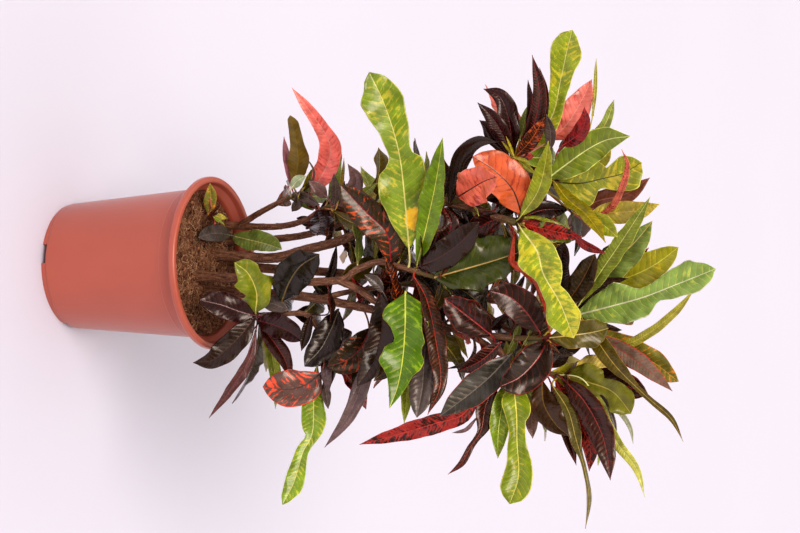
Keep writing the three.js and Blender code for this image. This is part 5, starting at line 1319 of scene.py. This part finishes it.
def fine_mix():
    """Settled peat with crumbs, bark chips and coir lying on it."""
    dice = random.Random(MIX_SEED)
    skin = Skin()
    skin.add(*peat_bed(), 0, seed=0.5)
    for i in range(CRUMBS + CHIPS):
        x, y = scatter_place(dice, PEAT_EDGE - LUMP_INSET)
        size = drawn(dice, *LUMP_SIZES)
        shape = (size, size, size) if i < CRUMBS else size * np.array(CHIP_SHAPE)
        ball, faces = lump(dice, shape)
        seat = np.array((x, y, soil_height(x, y) + LUMP_SEAT * size))
        skin.add(ball + seat, [faces], 1, seed=dice.random())
    for _ in range(FIBRES):
        path = fibre_path(dice)
        if len(path) < FEWEST_FIBRE_STEPS:
            continue
        radii = np.full(len(path), drawn(dice, *FIBRE_RADII))
        tube_points, faces = tube(path, radii, FIBRE_SIDES, facing=(0, 0, 1))
        skin.add(tube_points, faces, 2, seed=dice.random())
    return skin


# Materials

def material_with(name, tree_of):
    """A material whose nodes are laid by tree_of, which is given a way to add a node and one to finish."""
    material = bpy.data.materials.new(name)
    material.use_nodes = True
    tree = material.node_tree
    shader = next(node for node in tree.nodes if node.type == "BSDF_PRINCIPLED")

    def feed(socket, value):
        """Gives an input a value, or links it to a socket or to the first output of a node."""
        if isinstance(value, bpy.types.Node):
            value = value.outputs[0]
        if isinstance(value, bpy.types.NodeSocket):
            tree.links.new(value, socket)
        else:
            socket.default_value = value

    def add(kind, inputs=None, **settings):
        """Adds a node with its settings and what its inputs are fed."""
        node = tree.nodes.new(kind)
        for key, value in settings.items():
            setattr(node, key, value)
        for key, value in (inputs or {}).items():
            feed(node.inputs[key], value)
        return node

    def finish(**inputs):
        """Feeds the shader's inputs, their names written with underscores for spaces."""
        for key, value in inputs.items():
            feed(shader.inputs[key.replace("_", " ")], value)

    tree_of(add, finish)
    return material


def rgba(code):
    """A hex colour as a socket takes it, opaque."""
    return (*linear(code), 1)


def per_metre(size):
    """A pattern's Scale, in an object's own metres, from the size of its cells in millimetres."""
    return 1 / (size * MM)


def set_tones(ramp, low, middle, high):
    """Sets a colour ramp's stops, each a place and a colour."""
    for stop, (place, code) in zip(ramp.color_ramp.elements, (low, high)):
        stop.position = place
        stop.color = rgba(code)
    ramp.color_ramp.elements.new(middle[0]).color = rgba(middle[1])


MATH = "ShaderNodeMath"
MIX = "ShaderNodeMix"
RANGE = "ShaderNodeMapRange"
NOISE = "ShaderNodeTexNoise"
SPLIT = "ShaderNodeSeparateXYZ"
JOIN = "ShaderNodeCombineXYZ"
CARRIED = "ShaderNodeAttribute"
BUMP = "ShaderNodeBump"


def side_veins(add, down, aside, away, flat, share):
    """Where each point lies between side veins, how near it is to one, and how clearly that one shows.

    They leave the midrib at about 55 degrees, bend towards the tip and wander a little.
    """
    bend = add(MATH, {0: away, 1: away}, operation="MULTIPLY")
    left = add(MATH, {0: aside, 1: 0.0}, operation="LESS_THAN")
    wander = add(NOISE, {"Vector": flat, "Scale": 0.7, "Detail": 1.0})
    lean = down
    for shift, amount in ((away, -0.62), (bend, -0.06), (left, 0.45), (wander, 0.55)):
        lean = add(MATH, {0: shift, 1: amount, 2: lean}, operation="MULTIPLY_ADD")
    part = add(MATH, {0: lean}, operation="FRACT")
    ridge = add(MATH, {0: part, 1: 2.0, 2: -1.0}, operation="MULTIPLY_ADD")
    ridge = add(MATH, {0: ridge}, operation="ABSOLUTE")
    thin = add(RANGE, {"Value": share, "From Min": 0.0, "From Max": 0.95, "To Min": 0.9, "To Max": 0.96})
    vein = add(RANGE, {"Value": ridge, "From Min": thin, "From Max": 0.985}, interpolation_type="SMOOTHSTEP")
    fade = add(RANGE, {"Value": share, "From Min": 0.5, "From Max": 0.95, "To Min": 1.0, "To Max": 0.1})
    return lean, ridge, add(MATH, {0: vein, 1: fade}, operation="MULTIPLY")


def blotches(add, lean, away, flat, seed, near_vein, patched):
    """Blotches that spread along the side veins and crowd here and there, with small flecks between them."""
    along = add(JOIN, {0: lean, 1: away, 2: seed})
    along = add("ShaderNodeVectorMath", {0: along, 1: (1.2, 0.75, 40.0)}, operation="MULTIPLY")
    blotch = add(NOISE, {"Vector": along, "Scale": 1.0, "Detail": 4.0, "Roughness": 0.68})
    blotch = add(MATH, {0: near_vein, 1: 0.12, 2: blotch}, operation="MULTIPLY_ADD")
    level = add(RANGE, {"Value": patched, "To Min": 0.78, "To Max": 0.42})
    above = add(MATH, {0: blotch, 1: level}, operation="SUBTRACT")
    crowd = add(NOISE, {"Vector": flat, "Scale": 0.3, "Detail": 1.0})
    crowd = add(MATH, {0: crowd, 1: 0.45, 2: -0.225}, operation="MULTIPLY_ADD")
    above = add(MATH, {0: above, 1: crowd}, operation="ADD")
    patch = add(RANGE, {"Value": above, "From Min": -0.05, "From Max": 0.06}, interpolation_type="SMOOTHSTEP")
    flecks = add(NOISE, {"Vector": flat, "Scale": 3.4, "Detail": 2.0})
    fleck_level = add(RANGE, {"Value": patched, "To Min": 0.8, "To Max": 0.48})
    fleck = add(MATH, {0: flecks, 1: fleck_level}, operation="SUBTRACT")
    fleck = add(RANGE, {"Value": fleck, "From Min": 0.0, "From Max": 0.03, "To Max": 0.8})
    return add(MATH, {0: patch, 1: fleck}, operation="MAXIMUM"), flecks


def waxy_leaf(add, finish):
    """Croton leaf: a leathery blade under a clear wax. Its pigments lie in fields, blotches along the side
    veins, veins, midrib and margin; the wax gives broad soft highlights over all of them.

    Patterns are sized by the spacing of the side veins, 3.5 to 9 mm, as on the plant: a Scale of 3.4 gives
    flecks of 1 to 2.6 mm, one of 0.3 lets the patches crowd over 12 to 30 mm.
    """
    carried = {name: add(CARRIED, attribute_name=name)
               for name in ("place", "traits", "underside", "ripe", *TONE_PARTS)}
    down, aside, _ = add(SPLIT, {0: add("ShaderNodeUVMap", uv_map="veins")}).outputs
    share, run, seed = add(SPLIT, {0: carried["place"].outputs["Vector"]}).outputs
    patched, veined, edged = add(SPLIT, {0: carried["traits"].outputs["Vector"]}).outputs
    under = carried["underside"].outputs["Fac"]
    away = add(MATH, {0: aside}, operation="ABSOLUTE")
    flat = add(JOIN, {0: down, 1: aside, 2: 0.0})
    lean, ridge, vein = side_veins(add, down, aside, away, flat, share)
    vein = add(MATH, {0: vein, 1: veined}, operation="MULTIPLY")
    near_vein = add(MATH, {0: ridge, 1: ridge}, operation="MULTIPLY")
    patch, flecks = blotches(add, lean, away, flat, seed, near_vein, patched)

    # the midrib narrows towards the tip, the margin is a thin band, and the ripe spot has a ragged edge
    rib_half = add(RANGE, {"Value": run, "To Min": 0.12, "To Max": 0.035})
    rib = add(MATH, {0: away, 1: rib_half}, operation="DIVIDE")
    rib = add(RANGE, {"Value": rib, "From Min": 1.15, "From Max": 0.75}, interpolation_type="SMOOTHSTEP")
    inward = add(MATH, {0: 1.0, 1: share}, operation="SUBTRACT")
    margin = add(MATH, {0: inward, 1: edged}, operation="DIVIDE")
    margin = add(RANGE, {"Value": margin, "From Min": 1.25, "From Max": 0.75},
                 interpolation_type="SMOOTHSTEP")
    ragged = add(MATH, {0: flecks, 1: 0.5, 2: -0.25}, operation="MULTIPLY_ADD")
    ripe = add(MATH, {0: carried["ripe"].outputs["Fac"], 1: ragged}, operation="ADD")
    ripe = add(RANGE, {"Value": ripe, "From Min": 0.0, "From Max": 0.12}, interpolation_type="SMOOTHSTEP")
    below = add(MATH, {0: under, 1: 0.8}, operation="MULTIPLY")

    colour = {name: carried[name].outputs["Color"] for name in TONE_PARTS}
    tinted = colour["field"]
    for cover, laid_on in ((patch, colour["patch"]), (ripe, rgba(RIPE_COLOUR)), (vein, colour["vein"]),
                           (margin, colour["edge"]), (rib, colour["rib"]), (below, colour["under"])):
        tinted = add(MIX, {"Factor": cover, "A": tinted, "B": laid_on}, data_type="RGBA").outputs["Result"]
    cloud = add(NOISE, {"Vector": flat, "Scale": 0.45, "Detail": 2.0})
    cloud = add(RANGE, {"Value": cloud, "From Min": 0.3, "From Max": 0.7, "To Min": 0.68, "To Max": 1.2})
    tinted = add("ShaderNodeVectorMath", {0: tinted, "Scale": cloud}, operation="SCALE")

    # the blade swells between its side veins and is warped; its grain, about 0.1 mm, is drawn at 0.4 to 1 mm
    swell = add(MATH, {0: near_vein, 1: -1.0, 2: 1.0}, operation="MULTIPLY_ADD")
    grain = add(NOISE, {"Vector": flat, "Scale": 9.0, "Detail": 2.0})
    height = add(MATH, {0: grain, 1: 0.03, 2: swell}, operation="MULTIPLY_ADD")
    warp = add(NOISE, {"Vector": flat, "Scale": 0.5, "Detail": 1.0})
    height = add(MATH, {0: warp, 1: 3.2, 2: height}, operation="MULTIPLY_ADD")
    bump = add(BUMP, {"Height": height, "Strength": 0.42, "Distance": 0.9 * MM})
    gloss = add(NOISE, {"Vector": flat, "Scale": 1.3, "Detail": 3.0})
    gloss = add(RANGE, {"Value": gloss, "From Min": 0.25, "From Max": 0.75, "To Min": 0.2, "To Max": 0.34})
    gloss = add(MATH, {0: under, 1: 0.16, 2: gloss}, operation="MULTIPLY_ADD")
    finish(Base_Color=tinted, Roughness=gloss, Normal=bump, IOR=1.45, Specular_IOR_Level=0.36,
           Specular_Tint=rgba("ffdcc6"), Coat_Weight=0.6, Coat_Roughness=0.2)


def grown_bark(add, finish):
    """Thin woody bark: grey-brown, with pale lenticels about 3 mm apart and green young tops. Its streaks,
    1.8 mm wide and 14 mm long, run along the stem."""
    uv = add("ShaderNodeUVMap", uv_map="veins")
    young = add(CARRIED, attribute_name="young").outputs["Fac"]
    streaks = (1 / STREAK_WIDTH, 1 / STREAK_LENGTH, 1.0)
    streak = add("ShaderNodeVectorMath", {0: uv, 1: streaks}, operation="MULTIPLY")
    streak = add(NOISE, {"Vector": streak, "Scale": 1.0, "Detail": 4.0, "Roughness": 0.65})
    ramp = add("ShaderNodeValToRGB", {0: streak})
    set_tones(ramp, (0.3, "3e261a"), (0.5, "7c5440"), (0.72, "b08468"))
    dots = add("ShaderNodeTexVoronoi", {"Vector": uv, "Scale": 1 / LENTICEL_SPACING, "Randomness": 1.0})
    dot = add(RANGE, {"Value": dots.outputs["Distance"], "From Min": 0.28, "From Max": 0.14, "To Max": 0.6})
    green = add(RANGE, {"Value": young, "From Min": 0.75, "From Max": 1.05, "To Max": 0.75})
    bark = ramp.outputs["Color"]
    for cover, laid_on in ((dot, "b89a80"), (green, "55602a")):
        bark = add(MIX, {"Factor": cover, "A": bark, "B": rgba(laid_on)}, data_type="RGBA").outputs["Result"]
    rough = add(RANGE, {"Value": streak, "To Min": 0.55, "To Max": 0.85})
    height = add(MATH, {0: dot, 1: 0.5, 2: streak}, operation="MULTIPLY_ADD")
    bump = add(BUMP, {"Height": height, "Strength": 0.7, "Distance": 0.8 * MM})
    finish(Base_Color=bark, Roughness=rough, Normal=bump, Specular_IOR_Level=0.3)


def earthy(dark, middle, light, grain_size, roughness):
    """Nodes of a dull earthen stuff that runs from dark to light with its grain and from lump to lump."""
    def tree_of(add, finish):
        spot = add("ShaderNodeTexCoord").outputs["Object"]
        grain = add(NOISE, {"Vector": spot, "Scale": per_metre(grain_size), "Detail": 5.0, "Roughness": 0.7})
        seed = add(CARRIED, attribute_name="seed").outputs["Fac"]
        level = add(MATH, {0: seed, 1: 0.5, 2: -0.25}, operation="MULTIPLY_ADD")
        level = add(MATH, {0: level, 1: grain}, operation="ADD")
        ramp = add("ShaderNodeValToRGB", {0: level})
        set_tones(ramp, (0.3, dark), (0.55, middle), (0.8, light))
        dull = add(RANGE, {"Value": grain, "To Min": roughness - 0.1, "To Max": roughness + 0.05})
        bump = add(BUMP, {"Height": grain, "Strength": 0.8, "Distance": 0.8 * MM})
        finish(Base_Color=ramp.outputs["Color"], Roughness=dull, Normal=bump, Specular_IOR_Level=0.2)
    return tree_of


def moulded_polypropylene(add, finish):
    """Terracotta-coloured polypropylene, injection moulded: satin, with slow sheen changes and a few dark
    specks. Its skin, about 0.1 mm in the mould, is drawn at 1.4 mm to show."""
    spot = add("ShaderNodeTexCoord").outputs["Object"]
    slow = add(NOISE, {"Vector": spot, "Scale": per_metre(SHEEN_CHANGE), "Detail": 3.0})
    tint = add(MIX, {"Factor": slow, "A": rgba("ae5441"), "B": rgba("c46652")}, data_type="RGBA")
    specks = add("ShaderNodeTexVoronoi", {"Vector": spot, "Scale": per_metre(SPECK_SPACING)})
    chosen = add(SPLIT, {0: specks.outputs["Color"]})
    few = add(MATH, {0: chosen, 1: SPECK_SHARE}, operation="LESS_THAN")
    dot = add(RANGE, {"Value": specks.outputs["Distance"], "From Min": 0.07, "From Max": 0.03})
    dot = add(MATH, {0: dot, 1: few}, operation="MULTIPLY")
    tint = add(MIX, {"Factor": dot, "A": tint.outputs["Result"], "B": rgba("4a241c")}, data_type="RGBA")
    skin = add(NOISE, {"Vector": spot, "Scale": per_metre(SKIN_GRAIN), "Detail": 2.0})
    gloss = add(RANGE, {"Value": slow, "From Min": 0.3, "From Max": 0.7, "To Min": 0.33, "To Max": 0.43})
    bump = add(BUMP, {"Height": skin, "Strength": 0.12, "Distance": 0.2 * MM})
    finish(Base_Color=tint.outputs["Result"], Roughness=gloss, Normal=bump, IOR=1.49, Coat_Weight=0.4,
           Coat_Roughness=0.32)


def painted_board(add, finish):
    """A board rolled with matt paint, nearly white with a breath of pink. The roller's tooth, under 1 mm, is
    drawn at 3.3 mm to show."""
    spot = add("ShaderNodeTexCoord").outputs["Object"]
    slow = add(NOISE, {"Vector": spot, "Scale": per_metre(BOARD_CLOUD), "Detail": 3.0})
    tint = add(MIX, {"Factor": slow, "A": rgba("d6d4e5"), "B": rgba("d9d7e8")}, data_type="RGBA")
    gloss = add(RANGE, {"Value": slow, "To Min": 0.5, "To Max": 0.6})
    fine = add(NOISE, {"Vector": spot, "Scale": per_metre(BOARD_TOOTH), "Detail": 2.0})
    bump = add(BUMP, {"Height": fine, "Strength": 0.03, "Distance": 0.3 * MM})
    finish(Base_Color=tint.outputs["Result"], Roughness=gloss, Normal=bump)


# Camera, floor and light

def stand_camera():
    """The camera of the front view, looking down and lying on its side."""
    look = Vector((0, math.cos(LOOK_DOWN), -math.sin(LOOK_DOWN)))
    up = Vector((0, math.sin(LOOK_DOWN), math.cos(LOOK_DOWN)))
    right = Vector((1, 0, 0))
    level = math.cos(ROLL) * right + math.sin(ROLL) * up
    upright = math.cos(ROLL) * up - math.sin(ROLL) * right
    camera = bpy.data.cameras.new("photograph_camera")
    camera.sensor_width = FILM_WIDTH
    camera.lens = PICTURE_WIDTHS_AWAY * FILM_WIDTH
    camera.clip_end = FAR_CLIP
    made = bpy.data.objects.new("photograph_camera", camera)
    bpy.context.scene.collection.objects.link(made)
    # the picture lies on its side, so its width runs up the plant
    turned = Matrix((upright, -level, -look)).transposed().to_4x4()
    turned.translation = Vector(EYE) * MM
    made.matrix_world = turned
    bpy.context.scene.camera = made


def soft_light(name, turn, height, spread, power):
    """A large far softbox, standing at these angles round and above the plant."""
    light = bpy.data.lights.new(name, "SUN")
    light.angle = math.radians(spread)
    light.energy = power
    light.color = tuple(linear(LIGHT_COLOUR))
    made = bpy.data.objects.new(name, light)
    turn, height = math.radians(turn), math.radians(height)
    away = Vector((math.cos(turn) * math.cos(height), math.sin(turn) * math.cos(height), math.sin(height)))
    made.rotation_euler = away.to_track_quat("Z", "Y").to_euler()
    made.location = away * SOFTBOX_AWAY
    bpy.context.scene.collection.objects.link(made)


def set_studio():
    """A pale painted floor, five softboxes and a faint even light."""
    skin = Skin()
    corners = np.array([(-1, -1, 0), (1, -1, 0), (1, 1, 0), (-1, 1, 0)])
    skin.add(corners * FLOOR_HALF / MM, [np.arange(4)[None]])
    skin.piece("pale_floor", [material_with("painted_board", painted_board)])
    for name, row in SOFTBOXES.items():
        soft_light(name, *row)
    world = bpy.data.worlds.new("pale_studio")
    world.use_nodes = True
    sky = next(node for node in world.node_tree.nodes if node.type == "BACKGROUND")
    sky.inputs["Color"].default_value = rgba(SKY_COLOUR)
    sky.inputs["Strength"].default_value = SKY_POWER
    bpy.context.scene.world = world
    bpy.context.scene.view_settings.view_transform = "Standard"
    bpy.context.scene.view_settings.look = "Medium High Contrast"


# Assembly

set_studio()
stand_camera()

leaf_material = material_with("waxy_croton_leaf", waxy_leaf)
bark_material = material_with("woody_bark", grown_bark)

plants = grow()
for number, (name, plant) in enumerate(plants.items()):
    dice = random.Random(PLANT_SEED + number)
    stems = Skin()
    for branch in plant["branches"]:
        fine_stem(stems, branch, dice)
    add_small_leaves(plant, dice)
    leaves = Skin()
    for leaf in plant["leaves"]:
        fine_leaf(leaves, plant, leaf, dice)
    for kind, skin, material in (("wood", stems, bark_material), ("leaves", leaves, leaf_material)):
        piece = skin.piece(f"{name}_{kind}", [material])
        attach(piece, "root")
        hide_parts(name)

pot = fine_pot().piece("moulded_pot", [material_with("moulded_polypropylene", moulded_polypropylene)])
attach(pot, "root")
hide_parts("pot")

mix = fine_mix().piece("peat_and_coir", [
    # peat, settled by watering: dark and dull, mottled from grain to grain
    material_with("settled_peat", earthy("341c14", "724836", "b07c5c", PEAT_GRAINS, 0.92)),
    # bark, broken into crumbs and chips: nearly as dull, each lump lighter or darker than the next
    material_with("bark_crumbs", earthy("3a2018", "744a38", "aa7c60", BARK_GRAINS, 0.88)),
    # coir, combed from coconut husk: straw brown hairs, pale enough to stand out on the peat
    material_with("coir_fibres", earthy("7a4e38", "b58462", "e4bc96", COIR_BANDS, 0.8)),
])
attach(mix, "root")
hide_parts("potting_mix")
